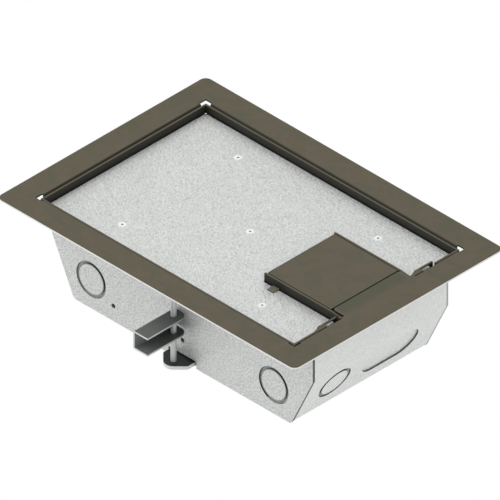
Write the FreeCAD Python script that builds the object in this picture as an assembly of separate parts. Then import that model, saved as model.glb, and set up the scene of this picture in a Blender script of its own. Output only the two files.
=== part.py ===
import FreeCAD, Part
import math
import os
from FreeCAD import Vector

# Floor socket box for a raised floor, in millimetres.
# X runs along the box, Y across it and Z up.  The origin is under the middle of the box, at the level
# of the side panels' lower edges.  "Depth" means the distance below the top of the trim flange.
# "Front" is -Y, "rear" +Y, "left" -X and "right" +X, where the lid hinges are.

# ---- Trim frame: one folded sheet, a flange with legs that stand down into the opening ----
flange_length = 363.0
flange_width = 255.0
flange_corner_radius = 6.5
trim_sheet = 1.5
trim_bend_radius = 0.7
opening_length = 310.0
opening_width = 202.0
corner_relief = 2.5
leg_corner_gap = 5.5
ledge_depth = 12.7
ledge_reach = 7.0
driver_gap = 12.0

# ---- Body: a wrap that makes both ends and the floor, between two flat side panels ----
wrap_length = 317.0
wrap_floor_length = 264.9
wrap_straight_depth = 48.2
wrap_depth = 103.1
wrap_sheet = 1.5
wrap_bend_radius = 3.0
wrap_flange = 9.0
wrap_flange_gap = 8.0
wrap_top_gap = 0.8
body_width = 164.8
panel_sheet = 2.0
panel_margin = 1.0
shelf_length = 290.0
shelf_bend_radius = 1.0

# ---- Knockouts and openings in the walls ----
knockout_radius = 18.0
knockout_slug_radius = 15.5
knockout_rim_sheet = 0.5
side_knockout_x = 111.0
side_knockout_depth = 73.9
end_row_depth = 72.2
end_knockout_y = 44.4
end_opening_radius = 18.0
end_opening_near_y = 8.4
end_opening_far_y = 37.9
cover_sheet = 1.2
cover_margin = 5.0
fixing_hole_radius = 2.35
fixing_hole_x = -84.0
fixing_hole_depth = 88.2
drain_hole_depth = 82.2

# ---- Lid: a folded tray with a loose plate riveted into it ----
lid_gap = 0.5
lid_hinge_gap = 1.0
lid_sheet = 2.0
lid_bend_radius = 1.0
lid_rim_drop = 1.5
lid_plate_sheet = 1.6
lid_plate_gap = 1.1
rivet_x = 85.1
rivet_y = 70.5
rivet_head_radius = 3.4
rivet_flat_radius = 2.9
rivet_head_height = 0.5
rivet_shank_radius = 1.6
rivet_bore_radius = 1.1
rivet_tail_radius = 2.4

# ---- Cable door in the lid, and the tongue of the frame that it closes against ----
door_left_x = 62.0
door_length = 77.3
door_width = 81.2
door_sheet = 1.5
door_drop = 0.8
door_corner_radius = 1.0
door_side_gap = 0.8
door_front_gap = 1.7
door_swing_room = 1.5
door_flange_depth = 5.2
door_pin_x = 66.0
door_pin_depth = 5.5
door_pin_radius = 1.5
ear_radius = 3.1
heel_reach = 5.9
heel_angle = 229.0
running_gap = 0.05
rest_strip_x = 75.2
rest_strip_width = 7.6
rest_strip_sheet = 0.8
rest_strip_reach = 7.6
tongue_corner_radius = 3.0
tongue_lip = 3.0
tongue_slot = 4.0

# ---- Slip hinges of the lid: fixed brackets on the frame, pins on the lid that point to the rear ----
hinge_axis_x = 152.4
hinge_axis_depth = 3.2
hinge_front_start = -72.3
hinge_rear_start = 44.6
hinge_pin_radius = 1.1
hinge_anchor = 12.0
hinge_bracket_width = 8.0
hinge_slip = 7.3
hinge_side_gap = 0.15
hinge_notch_depth = 6.5
hinge_notch_floor = 0.5
knuckle_radius = 1.9
leaf_thickness = 3.5
leaf_backing = 1.8
leaf_taper = 6.0

# ---- Floor clamps: a screw on each long side lifts a swinging channel arm ----
clamp_y = 93.2
clamp_screw_radius = 2.7
clamp_screw_top_depth = 13.2
clamp_slot_width = 1.1
clamp_slot_depth = 1.6
journal_radius = 2.0
ring_radius = 4.0
ring_sheet = 0.8
ring_gap = 0.2
arm_width = 17.7
arm_height = 19.0
arm_sheet = 1.7
arm_bend_radius = 0.5
arm_top_depth = 50.7
arm_outer_y = 133.6
arm_inner_y = 84.3
arm_nose_radius = 8.0
arm_corner_radius = 1.0
nut_shank_radius = 4.0
nut_body_radius = 5.0
nut_body_height = 3.5
foot_sheet = 3.5
foot_half_width = 15.0
foot_apex_y = 105.8
foot_apex_radius = 9.0
foot_shoulder_radius = 3.0
foot_tail_radius = 2.0
foot_tail_y = 62.0
foot_slot_gap = 2.0
foot_top_gap = 1.6

# ---- Devices inside ----
device_plate_depth = 60.0
device_plate_sheet = 1.6
device_plate_corner_radius = 2.0
plate_screw_inset = 8.0
rail_sheet = 1.5
rail_leg = 13.0
rail_left_x = -91.0
rail_right_x = 89.0
plate_side_gap = 1.0
power_plate_left_x = -92.0
power_plate_length = 112.0
data_plate_left_x = 25.0
data_plate_length = 63.0
divider_x = 22.0
divider_sheet = 1.2
divider_top_depth = 24.0
divider_foot = 12.0
divider_rail_gap = 1.0
divider_screw_y = 40.0
receptacle_y = 38.0
receptacle_length = 66.0
receptacle_width = 33.0
receptacle_body_height = 24.0
receptacle_step_height = 14.4
receptacle_step_x = 4.0
receptacle_step_y = 3.0
receptacle_corner_radius = 2.0
receptacle_face_height = 6.3
face_base_height = 2.1
face_inset_x = 0.5
face_inset_y = 1.0
face_corner_radius = 3.0
outlet_pitch = 38.1
outlet_radius = 17.4
outlet_half_height = 14.2
blade_depth = 1.3
blade_width = 2.2
blade_pitch = 12.7
blade_start = -1.0
neutral_blade_length = 8.0
line_blade_length = 6.5
earth_hole_radius = 2.6
earth_hole_reach = 7.5
yoke_length = 104.0
yoke_width = 14.0
yoke_sheet = 1.2
yoke_corner_radius = 3.0
yoke_screw_pitch = 83.3
cutout_gap = 1.0
jack_length = 16.5
jack_width = 19.0
jack_height = 28.0
jack_lip = 1.8
jack_lip_height = 1.5
jack_corner_radius = 1.0
jack_pitch = 34.0
jack_count = 4
socket_length = 9.0
socket_width = 12.0
socket_depth = 12.0
latch_width = 6.0
latch_reach = 2.0

# ---- Fasteners ----
small_screw_radius = 1.6
small_head_radius = 2.9
small_head_height = 1.8
small_head_bevel = 0.6
small_screw_length = 7.0
countersunk_radius = 2.7
countersunk_depth = 1.4
frame_screw_x = (50.0, 125.0)
ground_screw_x = -112.0
ground_screw_radius = 2.5
ground_hex = 8.0
ground_hex_height = 3.6
ground_slot_width = 1.2
ground_slot_depth = 1.0
ground_washer = 11.0
ground_washer_sheet = 1.2
ground_screw_end = 0.5
foot_rivet_x = 10.0
foot_rivet_y = 70.0
foot_rivet_head_radius = 3.2
foot_rivet_head_height = 0.9

# ---- Derived levels and places ----
box_depth = wrap_depth + panel_margin
opening_half_length = opening_length / 2
opening_half_width = opening_width / 2
wrap_half_length = wrap_length / 2
inner_half_width = body_width / 2 - panel_sheet
shelf_depth = ledge_depth + trim_sheet
floor_depth = wrap_depth - wrap_sheet
lid_left_x = -opening_half_length + lid_gap
lid_right_x = opening_half_length - lid_hinge_gap
lid_half_width = opening_half_width - lid_gap
lid_floor_depth = ledge_depth - lid_sheet
lid_bend_reach = lid_sheet + lid_bend_radius
lid_plate_depth = lid_floor_depth - lid_plate_sheet
wall_inner_y = door_width / 2 + door_side_gap
wall_outer_y = wall_inner_y + lid_sheet
door_right_x = door_left_x + door_length
tongue_left_x = door_right_x + door_front_gap
tongue_half_width = door_width / 2
rest_strip_depth = lid_plate_depth - rest_strip_sheet
hinge_length = hinge_anchor + hinge_bracket_width + hinge_slip
hinge_starts = {"front": hinge_front_start, "rear": hinge_rear_start}
foot_top_depth = floor_depth - foot_sheet
arm_floor_depth = arm_top_depth + arm_height
yoke_depth = device_plate_depth - yoke_sheet
divider_screw_length = divider_sheet + wrap_sheet + panel_margin / 2
across = Vector(0, 1, 0)
along = Vector(1, 0, 0)
up = Vector(0, 0, 1)
parts = {}


def level(depth):
    """Height of a place that lies the given depth below the top of the flange."""
    return box_depth - depth


def block(x_low, x_high, y_low, y_high, deep, shallow):
    """Box between two X, two Y and two depths."""
    size = Vector(x_high - x_low, y_high - y_low, deep - shallow)
    return Part.makeBox(size.x, size.y, size.z, Vector(x_low, y_low, level(deep)))


def upright(radius, x, y, deep, shallow):
    """Vertical cylinder between two depths."""
    return Part.makeCylinder(radius, deep - shallow, Vector(x, y, level(deep)), up)


def crosswise(radius, x, depth, y_low, y_high):
    """Cylinder along Y."""
    return Part.makeCylinder(radius, y_high - y_low, Vector(x, y_low, level(depth)), across)


def fuse(shapes):
    """One solid from touching shapes, with seams between flush faces removed."""
    joined = shapes[0]
    for shape in shapes[1:]:
        joined = joined.fuse(shape)
    return joined.removeSplitter()


def mirror_y(shape):
    """Copy on the other long side."""
    return shape.mirror(Vector(0, 0, 0), across)


def mirror_x(shape):
    """Copy at the other end."""
    return shape.mirror(Vector(0, 0, 0), along)


def half_turn(shape):
    """Copy turned half a turn about the box's vertical axis."""
    return shape.rotated(Vector(0, 0, 0), up, 180)


def in_section_x(point):
    """A (y, depth) point of a section that is later extruded along X."""
    return Vector(0, point[0], level(point[1]))


def in_section_y(point):
    """An (x, depth) point of a section that is later extruded along Y."""
    return Vector(point[0], 0, level(point[1]))


def in_plan(point):
    """An (x, y) point of an outline that is later extruded upwards."""
    return Vector(point[0], point[1], 0)


def rounded_face(corners, radii):
    """Flat face through the corners, each rounded by its own radius."""
    count = len(corners)
    starts = []
    ends = []
    arcs = []
    for index, corner in enumerate(corners):
        back = (corners[index - 1] - corner).normalize()
        ahead = (corners[(index + 1) % count] - corner).normalize()
        half = back.getAngle(ahead) / 2
        radius = radii[index]
        if radius == 0:
            starts.append(corner)
            ends.append(corner)
            arcs.append(None)
            continue
        tangent = radius / math.tan(half)
        bisector = (back + ahead).normalize()
        middle = corner + bisector * (radius / math.sin(half) - radius)
        starts.append(corner + back * tangent)
        ends.append(corner + ahead * tangent)
        arcs.append(Part.Arc(starts[-1], middle, ends[-1]).toShape())
    edges = []
    for index in range(count):
        if arcs[index]:
            edges.append(arcs[index])
        following = starts[(index + 1) % count]
        if ends[index].distanceToPoint(following) > 1e-6:
            edges.append(Part.LineSegment(ends[index], following).toShape())
    return Part.Face(Part.Wire(edges))


def plan_prism(points, radii, deep, shallow):
    """Outline in plan, given as (x, y) points, between two depths."""
    face = rounded_face([in_plan(point) for point in points], radii)
    face.translate(Vector(0, 0, level(deep)))
    return face.extrude(Vector(0, 0, deep - shallow))


def cross_prism(points, radii, y_low, y_high):
    """Outline in side view, given as (x, depth) points, between two Y."""
    face = rounded_face([in_section_y(point) for point in points], radii)
    face.translate(Vector(0, y_low, 0))
    return face.extrude(Vector(0, y_high - y_low, 0))


def rectangle(x_low, x_high, y_low, y_high):
    """Corner points of a rectangle in plan."""
    return [(x_low, y_low), (x_high, y_low), (x_high, y_high), (x_low, y_high)]


def offset_path(path, distance):
    """Corners of an open path moved by the distance to its left, as seen with Z up."""
    sides = []
    for first, second in zip(path, path[1:]):
        run = math.dist(first, second)
        sides.append(((second[1] - first[1]) / run, (first[0] - second[0]) / run))
    moved = []
    for index, point in enumerate(path):
        before = sides[max(index - 1, 0)]
        after = sides[min(index, len(sides) - 1)]
        share = distance / (1 + before[0] * after[0] + before[1] * after[1])
        moved.append((point[0] + share * (before[0] + after[0]),
                      point[1] + share * (before[1] + after[1])))
    return moved


def bent_strip(path, sheet, bend_radius, start, end, extruded_along):
    """Folded sheet: a section whose one face follows the path, extruded between start and end.

    The sheet lies to the left of the path.
    """
    far = offset_path(path, sheet)
    near_radii = [0.0]
    far_radii = [0.0]
    for before, corner, after in zip(path, path[1:], path[2:]):
        turn = (corner[1] - before[1]) * (after[0] - corner[0])
        turn -= (corner[0] - before[0]) * (after[1] - corner[1])
        near_radii.append(bend_radius + sheet if turn > 0 else bend_radius)
        far_radii.append(bend_radius if turn > 0 else bend_radius + sheet)
    near_radii.append(0.0)
    far_radii.append(0.0)
    place = in_section_x if extruded_along == along else in_section_y
    corners = [place(point) for point in path + far[::-1]]
    face = rounded_face(corners, near_radii + far_radii[::-1])
    face.translate(extruded_along * start)
    return face.extrude(extruded_along * (end - start))


def pan_screw(x, y, seat_depth, length):
    """Small screw whose bevelled head sits on the seat and whose shank goes down."""
    flat_radius = small_head_radius - small_head_bevel
    head = upright(small_head_radius, x, y, seat_depth, seat_depth - small_head_height + small_head_bevel)
    crown = Part.makeCone(small_head_radius, flat_radius, small_head_bevel,
                          Vector(x, y, level(seat_depth - small_head_height + small_head_bevel)), up)
    return fuse([head, crown, small_shank(x, y, seat_depth, length)])


def small_shank(x, y, seat_depth, length):
    """Shank of a small screw below its seat."""
    return upright(small_screw_radius, x, y, seat_depth + length, seat_depth)


# ---------------------------------------------------------------- trim frame
def long_leg():
    """Front leg of the trim frame, with the ledge that the lid rests on."""
    path = [(-opening_half_width + ledge_reach, ledge_depth), (-opening_half_width, ledge_depth),
            (-opening_half_width, 0), (-opening_half_width - corner_relief, 0)]
    half = opening_half_length - leg_corner_gap
    leg = bent_strip(path, trim_sheet, trim_bend_radius, -half, half, along)
    return leg.cut(block(-driver_gap / 2, driver_gap / 2, -opening_half_width + 1.5 * trim_sheet,
                         -opening_half_width + ledge_reach + 1, shelf_depth + 1, ledge_depth - 1))


def left_leg():
    """Left leg of the trim frame, with its ledge."""
    path = [(-opening_half_length + ledge_reach, ledge_depth), (-opening_half_length, ledge_depth),
            (-opening_half_length, 0), (-opening_half_length - corner_relief, 0)]
    half = opening_half_width - leg_corner_gap
    return bent_strip(path, trim_sheet, trim_bend_radius, -half, half, across)


def right_leg(y_low, y_high):
    """A stretch of the right leg, which has no ledge because the lid swings down past it."""
    path = [(-opening_half_length, shelf_depth), (-opening_half_length, 0),
            (-opening_half_length - corner_relief, 0)]
    return mirror_x(bent_strip(path, trim_sheet, trim_bend_radius, y_low, y_high, across))


def make_trim_frame():
    """Flange, four folded legs, the fixed tongue beside the cable door and the hinge notches."""
    half_x = flange_length / 2
    half_y = flange_width / 2
    flange = plan_prism(rectangle(-half_x, half_x, -half_y, half_y), [flange_corner_radius] * 4,
                        trim_sheet, 0)
    edge_x = opening_half_length + corner_relief
    edge_y = opening_half_width + corner_relief
    flange = flange.cut(block(-edge_x, edge_x, -edge_y, edge_y, trim_sheet, 0))
    leg_end = opening_half_width - leg_corner_gap
    leg_start = tongue_half_width + tongue_slot
    tongue_root = block(opening_half_length, edge_x, -leg_start, leg_start, trim_sheet, 0)
    tongue = plan_prism(rectangle(tongue_left_x, edge_x, -tongue_half_width, tongue_half_width),
                        [tongue_corner_radius, 0, 0, tongue_corner_radius], trim_sheet, 0)
    front = long_leg()
    frame = fuse([flange, front, mirror_y(front), left_leg(), tongue_root, tongue,
                  right_leg(leg_start, leg_end), right_leg(-leg_end, -leg_start)])
    for start in hinge_starts.values():
        frame = frame.cut(block(opening_half_length - 1, opening_half_length + trim_sheet,
                                start, start + hinge_length, hinge_notch_depth + hinge_notch_floor, -1))
    return frame.cut(frame_screws(running_gap))


def make_tongue_lip():
    """Joggled strip under the tongue, which carries the free edge of the cable door."""
    top = door_drop + door_sheet
    half = tongue_half_width - tongue_corner_radius
    lip = block(tongue_left_x - door_front_gap - tongue_lip, tongue_left_x, -half, half,
                top + trim_sheet, top)
    root = block(tongue_left_x, tongue_left_x + 2 * tongue_lip, -half, half, top + trim_sheet, trim_sheet)
    return fuse([lip, root])


# ---------------------------------------------------------------- body
def wrap_path():
    """Outer face of the wrap, from the top of the left end round to the top of the right end."""
    right = [(wrap_floor_length / 2, wrap_depth), (wrap_half_length, wrap_straight_depth),
             (wrap_half_length, trim_sheet + wrap_top_gap)]
    return [(-x, depth) for x, depth in reversed(right)] + right


def wrap_flanges():
    """Inward flanges along the front edge of the wrap, one to each flat of its profile."""
    path = wrap_path()
    inner = offset_path(path, wrap_sheet)
    deep = offset_path(path, wrap_sheet + wrap_flange)
    flanges = []
    for index in range(len(path) - 1):
        near = Vector(*inner[index], 0)
        run = Vector(*inner[index + 1], 0) - near
        far = Vector(*deep[index], 0)
        length = run.Length
        run.normalize()
        inward = (far - near) - run * (far - near).dot(run)
        top_gap = shelf_depth + wrap_flange_gap - trim_sheet
        start = near + run * (top_gap if index == 0 else wrap_flange_gap)
        end = near + run * (length - (top_gap if index == len(path) - 2 else wrap_flange_gap))
        corners = [start, end, end + inward, start + inward]
        flanges.append(cross_prism([(corner.x, corner.y) for corner in corners], [0] * 4,
                                   -inner_half_width, -inner_half_width + wrap_sheet))
    return flanges


def slope_x(depth):
    """Distance of the sloped walls' outer faces from the middle of the box at a depth."""
    run = wrap_half_length - wrap_floor_length / 2
    return wrap_floor_length / 2 + run * (wrap_depth - depth) / (wrap_depth - wrap_straight_depth)


def on_right_slope(y):
    """Point of the row of openings on the right sloped wall, and that wall's outward direction."""
    outward = Vector(wrap_depth - wrap_straight_depth, 0, wrap_floor_length / 2 - wrap_half_length)
    outward.normalize()
    return Vector(slope_x(end_row_depth), y, level(end_row_depth)), outward


def slope_disc(radius, y, outer, inner):
    """Disc in the right sloped wall, between two distances inside its outer face."""
    point, outward = on_right_slope(y)
    return Part.makeCylinder(radius, inner - outer, point - outward * inner, outward)


def slope_obround(radius, outer, inner):
    """Slot with round ends in the right sloped wall, between two distances inside its outer face."""
    low, outward = on_right_slope(end_opening_near_y)
    corner = low - outward * inner
    upslope = across.cross(outward)
    plate = Part.makePlane(2 * radius, end_opening_far_y - end_opening_near_y,
                           corner - upslope * radius, outward, upslope)
    bar = plate.extrude(outward * (inner - outer))
    ends = [slope_disc(radius, y, outer, inner) for y in (end_opening_near_y, end_opening_far_y)]
    return fuse([bar] + ends)


def make_body_wrap():
    """Both ends and the floor in one folded sheet, flanged along both edges."""
    sheet = bent_strip(wrap_path(), wrap_sheet, wrap_bend_radius, -inner_half_width, inner_half_width, across)
    front_flanges = wrap_flanges()
    wrap = fuse([sheet] + front_flanges + [mirror_y(flange) for flange in front_flanges])
    gap = foot_half_width + foot_slot_gap
    for side in (-1, 1):
        low, high = sorted((side * (inner_half_width - wrap_flange), side * (inner_half_width + 1)))
        wrap = wrap.cut(block(-gap, gap, low, high, floor_depth, floor_depth - wrap_flange - 1))
    right_cuts = [slope_disc(knockout_radius, -end_knockout_y, -1, wrap_sheet + 1),
                  slope_obround(end_opening_radius, -1, wrap_sheet + 1)]
    for cut in right_cuts:
        wrap = wrap.cut(cut).cut(half_turn(cut))
    wrap = wrap.cut(upright(ground_screw_radius, ground_screw_x, 0, wrap_depth, floor_depth))
    return wrap.cut(foot_rivet_shanks()).cut(divider_screw_shanks())


def make_front_panel():
    """Flat side panel with a shelf folded outwards along its top."""
    right = [(slope_x(box_depth), box_depth), (wrap_half_length, wrap_straight_depth),
             (wrap_half_length, shelf_depth)]
    outline = [(-x, depth) for x, depth in reversed(right)] + right
    corner_radius = wrap_bend_radius + wrap_sheet
    outer_y = -body_width / 2
    plate = cross_prism(outline, [0] + [corner_radius] * 4 + [0], outer_y, outer_y + panel_sheet)
    half_shelf = shelf_length / 2
    cut_depth = shelf_depth + panel_sheet + shelf_bend_radius
    plate = plate.cut(block(-half_shelf, half_shelf, outer_y - 1, outer_y + panel_sheet + 1, cut_depth, 0))
    shelf_path = [(outer_y + panel_sheet, cut_depth), (outer_y + panel_sheet, shelf_depth),
                  (-opening_half_width - trim_sheet, shelf_depth)]
    shelf = bent_strip(shelf_path, panel_sheet, shelf_bend_radius, -half_shelf, half_shelf, along)
    panel = fuse([plate, shelf])
    for radius, x, depth in ((knockout_radius, -side_knockout_x, side_knockout_depth),
                             (knockout_radius, side_knockout_x, side_knockout_depth),
                             (fixing_hole_radius, fixing_hole_x, fixing_hole_depth),
                             (fixing_hole_radius, 0, drain_hole_depth)):
        panel = panel.cut(crosswise(radius, x, depth, outer_y, outer_y + panel_sheet))
    slot = foot_half_width + foot_slot_gap
    panel = panel.cut(block(-slot, slot, outer_y - 1, outer_y + panel_sheet + 1,
                            box_depth + 1, foot_top_depth - foot_top_gap))
    return panel.cut(upright(clamp_screw_radius + 2 * running_gap, 0, -clamp_y, box_depth, 0))


def stepped_slug(disc, sheet):
    """Knockout slug: a flush centre and a thin rim at the inner face, which leaves a ring groove."""
    rim = disc(knockout_radius, sheet - knockout_rim_sheet, sheet)
    return fuse([disc(knockout_slug_radius, 0, sheet), rim])


def make_side_knockouts():
    """Slugs of the four knockouts in the side panels."""
    def front_disc(x):
        outer_y = -body_width / 2
        return lambda radius, outer, inner: crosswise(radius, x, side_knockout_depth,
                                                      outer_y + outer, outer_y + inner)
    slugs = [stepped_slug(front_disc(x), panel_sheet) for x in (-side_knockout_x, side_knockout_x)]
    return Part.makeCompound(slugs + [mirror_y(slug) for slug in slugs])


def make_end_knockouts():
    """Slugs of the round knockouts in the two sloped walls."""
    def right_disc(radius, outer, inner):
        return slope_disc(radius, -end_knockout_y, outer, inner)
    slug = stepped_slug(right_disc, wrap_sheet)
    return Part.makeCompound([slug, half_turn(slug)])


def make_right_cover():
    """Blank behind the long opening of the right sloped wall."""
    return slope_obround(end_opening_radius + cover_margin, wrap_sheet, wrap_sheet + cover_sheet)


def frame_screws(gap):
    """Countersunk screws that hold the ledges of the frame to the shelves, grown by a gap."""
    y = opening_half_width - ledge_reach / 2
    screws = []
    for x in frame_screw_x:
        cone = Part.makeCone(small_screw_radius + gap, countersunk_radius + gap, countersunk_depth,
                             Vector(x, -y, level(ledge_depth + countersunk_depth)), up)
        shank = upright(small_screw_radius + gap, x, -y, ledge_depth + small_screw_length,
                        ledge_depth + countersunk_depth)
        screws.append(fuse([cone, shank]))
    screws += [mirror_x(screw) for screw in screws]
    return Part.makeCompound(screws + [mirror_y(screw) for screw in screws])


# ---------------------------------------------------------------- lid
def rim_corner(corner_x, corner_y, into_x, into_y):
    """Closed corner between two rims, above their bends, with the signs of the ways into the sheet."""
    blocks = []
    for reach_x, reach_y in ((lid_bend_reach, lid_sheet), (lid_sheet, lid_bend_reach)):
        x_low, x_high = sorted((corner_x, corner_x + into_x * reach_x))
        y_low, y_high = sorted((corner_y, corner_y + into_y * reach_y))
        blocks.append(block(x_low, x_high, y_low, y_high, ledge_depth - lid_bend_reach, lid_rim_drop))
    return fuse(blocks)


def make_lid_tray():
    """Tray with four folded rims, cut out for the cable door, with a folded wall on each side of it."""
    rim_top = lid_rim_drop
    stub = 2 * lid_bend_reach
    front_path = [(-lid_half_width, rim_top), (-lid_half_width, ledge_depth),
                  (-lid_half_width + stub, ledge_depth)]
    front = bent_strip(front_path, lid_sheet, lid_bend_radius, lid_left_x + lid_bend_reach,
                       lid_right_x - lid_bend_reach, along)
    left_path = [(lid_left_x, rim_top), (lid_left_x, ledge_depth), (lid_left_x + stub, ledge_depth)]
    side = lid_half_width - lid_bend_reach
    left = bent_strip(left_path, lid_sheet, lid_bend_radius, -side, side, across)
    right_path = [(lid_right_x - stub, ledge_depth), (lid_right_x, ledge_depth), (lid_right_x, rim_top)]
    right = bent_strip(right_path, lid_sheet, lid_bend_radius, wall_inner_y + lid_bend_reach, side, across)
    wall_path = [(wall_outer_y + stub, ledge_depth), (wall_inner_y, ledge_depth), (wall_inner_y, door_drop)]
    wall_start = door_left_x - door_swing_room
    wall_end = lid_right_x - lid_bend_reach
    wall = bent_strip(wall_path[::-1], lid_sheet, lid_bend_radius, wall_start, wall_end, along)
    slope = [(tongue_left_x, door_drop - 1), (tongue_left_x, door_drop), (tongue_left_x + stub, rim_top),
             (wall_end + 1, rim_top), (wall_end + 1, door_drop - 1)]
    wall = wall.cut(cross_prism(slope, [0] * 5, wall_inner_y - 1, wall_outer_y + 1))
    floor = block(lid_left_x + stub / 2, lid_right_x - stub / 2, -lid_half_width + stub / 2,
                  lid_half_width - stub / 2, ledge_depth, lid_floor_depth)
    opening = block(wall_start, lid_right_x, -wall_outer_y - stub / 2, wall_outer_y + stub / 2,
                    ledge_depth, lid_floor_depth)
    corners = [rim_corner(lid_left_x, lid_half_width, 1, -1), rim_corner(lid_right_x, lid_half_width, -1, -1),
               rim_corner(lid_right_x, wall_inner_y, -1, 1)]
    corners += [mirror_y(corner) for corner in corners]
    tray = fuse([front, mirror_y(front), left, right, mirror_y(right), wall, mirror_y(wall),
                 floor.cut(opening)] + corners)
    for start in hinge_starts.values():
        tray = tray.cut(block(lid_right_x - lid_bend_reach, lid_right_x, start, start + hinge_length,
                              hinge_notch_depth, 0))
    tray = tray.cut(make_door_pin()).cut(rest_strip(rest_strip_sheet / 4))
    return tray.cut(lid_rivet_shanks())


def make_lid_plate():
    """Galvanised plate that lies in the tray and takes the floor covering."""
    x_low = lid_left_x + lid_sheet + lid_plate_gap
    x_high = lid_right_x - lid_sheet - lid_plate_gap
    y_high = lid_half_width - lid_sheet - lid_plate_gap
    plate = block(x_low, x_high, -y_high, y_high, lid_floor_depth, lid_plate_depth)
    wall_y = wall_outer_y + lid_plate_gap
    plate = plate.cut(block(door_left_x - door_swing_room, x_high, -wall_y, wall_y,
                            lid_floor_depth, lid_plate_depth))
    return plate.cut(lid_rivet_shanks())


def rivet_places():
    """Plan positions of the five blind rivets of the lid."""
    return [(0, 0)] + [(x, y) for x in (-rivet_x, rivet_x) for y in (-rivet_y, rivet_y)]


def lid_rivet_shanks():
    """Shanks of the lid's rivets, through the plate and the tray."""
    return Part.makeCompound([upright(rivet_shank_radius, x, y, ledge_depth, lid_plate_depth)
                              for x, y in rivet_places()])


def make_lid_rivets():
    """Blind rivets: a flat head with the mandrel hole, a shank and a swelled tail."""
    rivets = []
    for x, y in rivet_places():
        head = Part.makeCone(rivet_head_radius, rivet_flat_radius, rivet_head_height,
                             Vector(x, y, level(lid_plate_depth)), up)
        shank = upright(rivet_shank_radius, x, y, ledge_depth, lid_plate_depth)
        tail = upright(rivet_tail_radius, x, y, ledge_depth + rivet_shank_radius, ledge_depth)
        bore = upright(rivet_bore_radius, x, y, lid_plate_depth, lid_plate_depth - rivet_head_height)
        rivets.append(fuse([head, shank, tail]).cut(bore))
    return Part.makeCompound(rivets)


# ---------------------------------------------------------------- slip hinges
def make_hinge_leaf(start):
    """Block on the inside of the rim that holds the hinge pin and backs the bracket and the slip gap."""
    rim_inner = lid_right_x - lid_sheet
    back = rim_inner - leaf_thickness
    end = start + hinge_length
    outline = [(rim_inner, start), (rim_inner, end), (back, end), (back, start + leaf_taper)]
    leaf = plan_prism(outline, [0] * 4, lid_plate_depth, lid_rim_drop)
    anchor = block(rim_inner - 1, lid_right_x, start, start + hinge_anchor - hinge_side_gap,
                   hinge_notch_depth, lid_rim_drop)
    relief = block(back + leaf_backing, rim_inner + 1, start + hinge_anchor - hinge_side_gap, end,
                   lid_plate_depth, 0)
    return fuse([leaf.cut(relief), anchor]).cut(make_hinge_pin(start))


def make_hinge_pin(start):
    """Pin fixed in the leaf, which points to the rear through the bracket."""
    return crosswise(hinge_pin_radius, hinge_axis_x, hinge_axis_depth, start + hinge_anchor / 3,
                     start + hinge_anchor + hinge_bracket_width + 0.5)


def make_hinge_bracket(start):
    """Bracket in the notch of the right leg: a knuckle, an arm and a foot on the end wall."""
    y_low = start + hinge_anchor
    y_high = y_low + hinge_bracket_width
    leg_face = opening_half_length
    end_wall = wrap_half_length - wrap_sheet
    low = hinge_axis_depth + knuckle_radius
    knuckle = crosswise(knuckle_radius, hinge_axis_x, hinge_axis_depth, y_low, y_high)
    arm = block(hinge_axis_x, end_wall, y_low, y_high, low, hinge_axis_depth)
    foot = block(leg_face, end_wall, y_low, y_high, hinge_notch_depth + hinge_notch_floor, low)
    bore = crosswise(hinge_pin_radius + running_gap, hinge_axis_x, hinge_axis_depth, y_low - 1, y_high + 1)
    return fuse([knuckle, arm, foot]).cut(bore)


# ---------------------------------------------------------------- cable door
def make_door_pin():
    """Pin of the cable door, held in the two walls of the lid."""
    return crosswise(door_pin_radius, door_pin_x, door_pin_depth, -wall_outer_y, wall_outer_y)


def rest_strip(gap):
    """Flat strip across the door opening, grown by a gap."""
    half = rest_strip_width / 2 + gap
    reach = wall_outer_y + rest_strip_reach
    return block(rest_strip_x - half, rest_strip_x + half, -reach, reach,
                 rest_strip_depth + rest_strip_sheet + gap / 4, rest_strip_depth - gap)


def make_door_ear():
    """Folded side flange at the rear of the door: an eye on the pin, a foot and a stop heel."""
    y_low = -door_width / 2
    y_high = y_low + door_sheet
    under = door_drop + door_sheet / 2
    angle = math.radians(heel_angle)
    heel = (door_pin_x + heel_reach * math.cos(angle), door_pin_depth - heel_reach * math.sin(angle))
    low_corner = (rest_strip_x + rest_strip_width / 2, rest_strip_depth)
    ear = cross_prism([(door_left_x + door_sheet / 2, under), (heel[0], heel[1]),
                       (heel[0] + ear_radius, heel[1]),
                       (rest_strip_x - rest_strip_width / 2 - 1, rest_strip_depth), low_corner,
                       (low_corner[0] + 8, door_flange_depth), (door_right_x - 6, door_flange_depth),
                       (door_right_x - 2, under)], [0, 0.6, 0, 0, 1, 2, 1, 0], y_low, y_high)
    return ear.cut(crosswise(door_pin_radius + running_gap, door_pin_x, door_pin_depth, y_low, y_high))


def make_cable_door():
    """Door panel with a folded flange on each side."""
    half = door_width / 2
    outline = rectangle(door_left_x, door_right_x, -half, half)
    panel = plan_prism(outline, [door_corner_radius] * 4, door_drop + door_sheet, door_drop)
    ear = make_door_ear()
    return fuse([panel, ear, mirror_y(ear)])


# ---------------------------------------------------------------- floor clamps, made for the front side
def make_clamp_screw():
    """Slotted screw that stands on the foot plate and turns in the shelf."""
    shank = upright(clamp_screw_radius, 0, -clamp_y, foot_top_depth, clamp_screw_top_depth)
    journal = upright(journal_radius, 0, -clamp_y, floor_depth + ring_gap + 1.5 * ring_sheet, foot_top_depth)
    screw = fuse([shank, journal])
    slot = block(-clamp_slot_width / 2, clamp_slot_width / 2, -clamp_y - clamp_screw_radius,
                 -clamp_y + clamp_screw_radius, clamp_screw_top_depth + clamp_slot_depth, 0)
    return screw.cut(slot)


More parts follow.
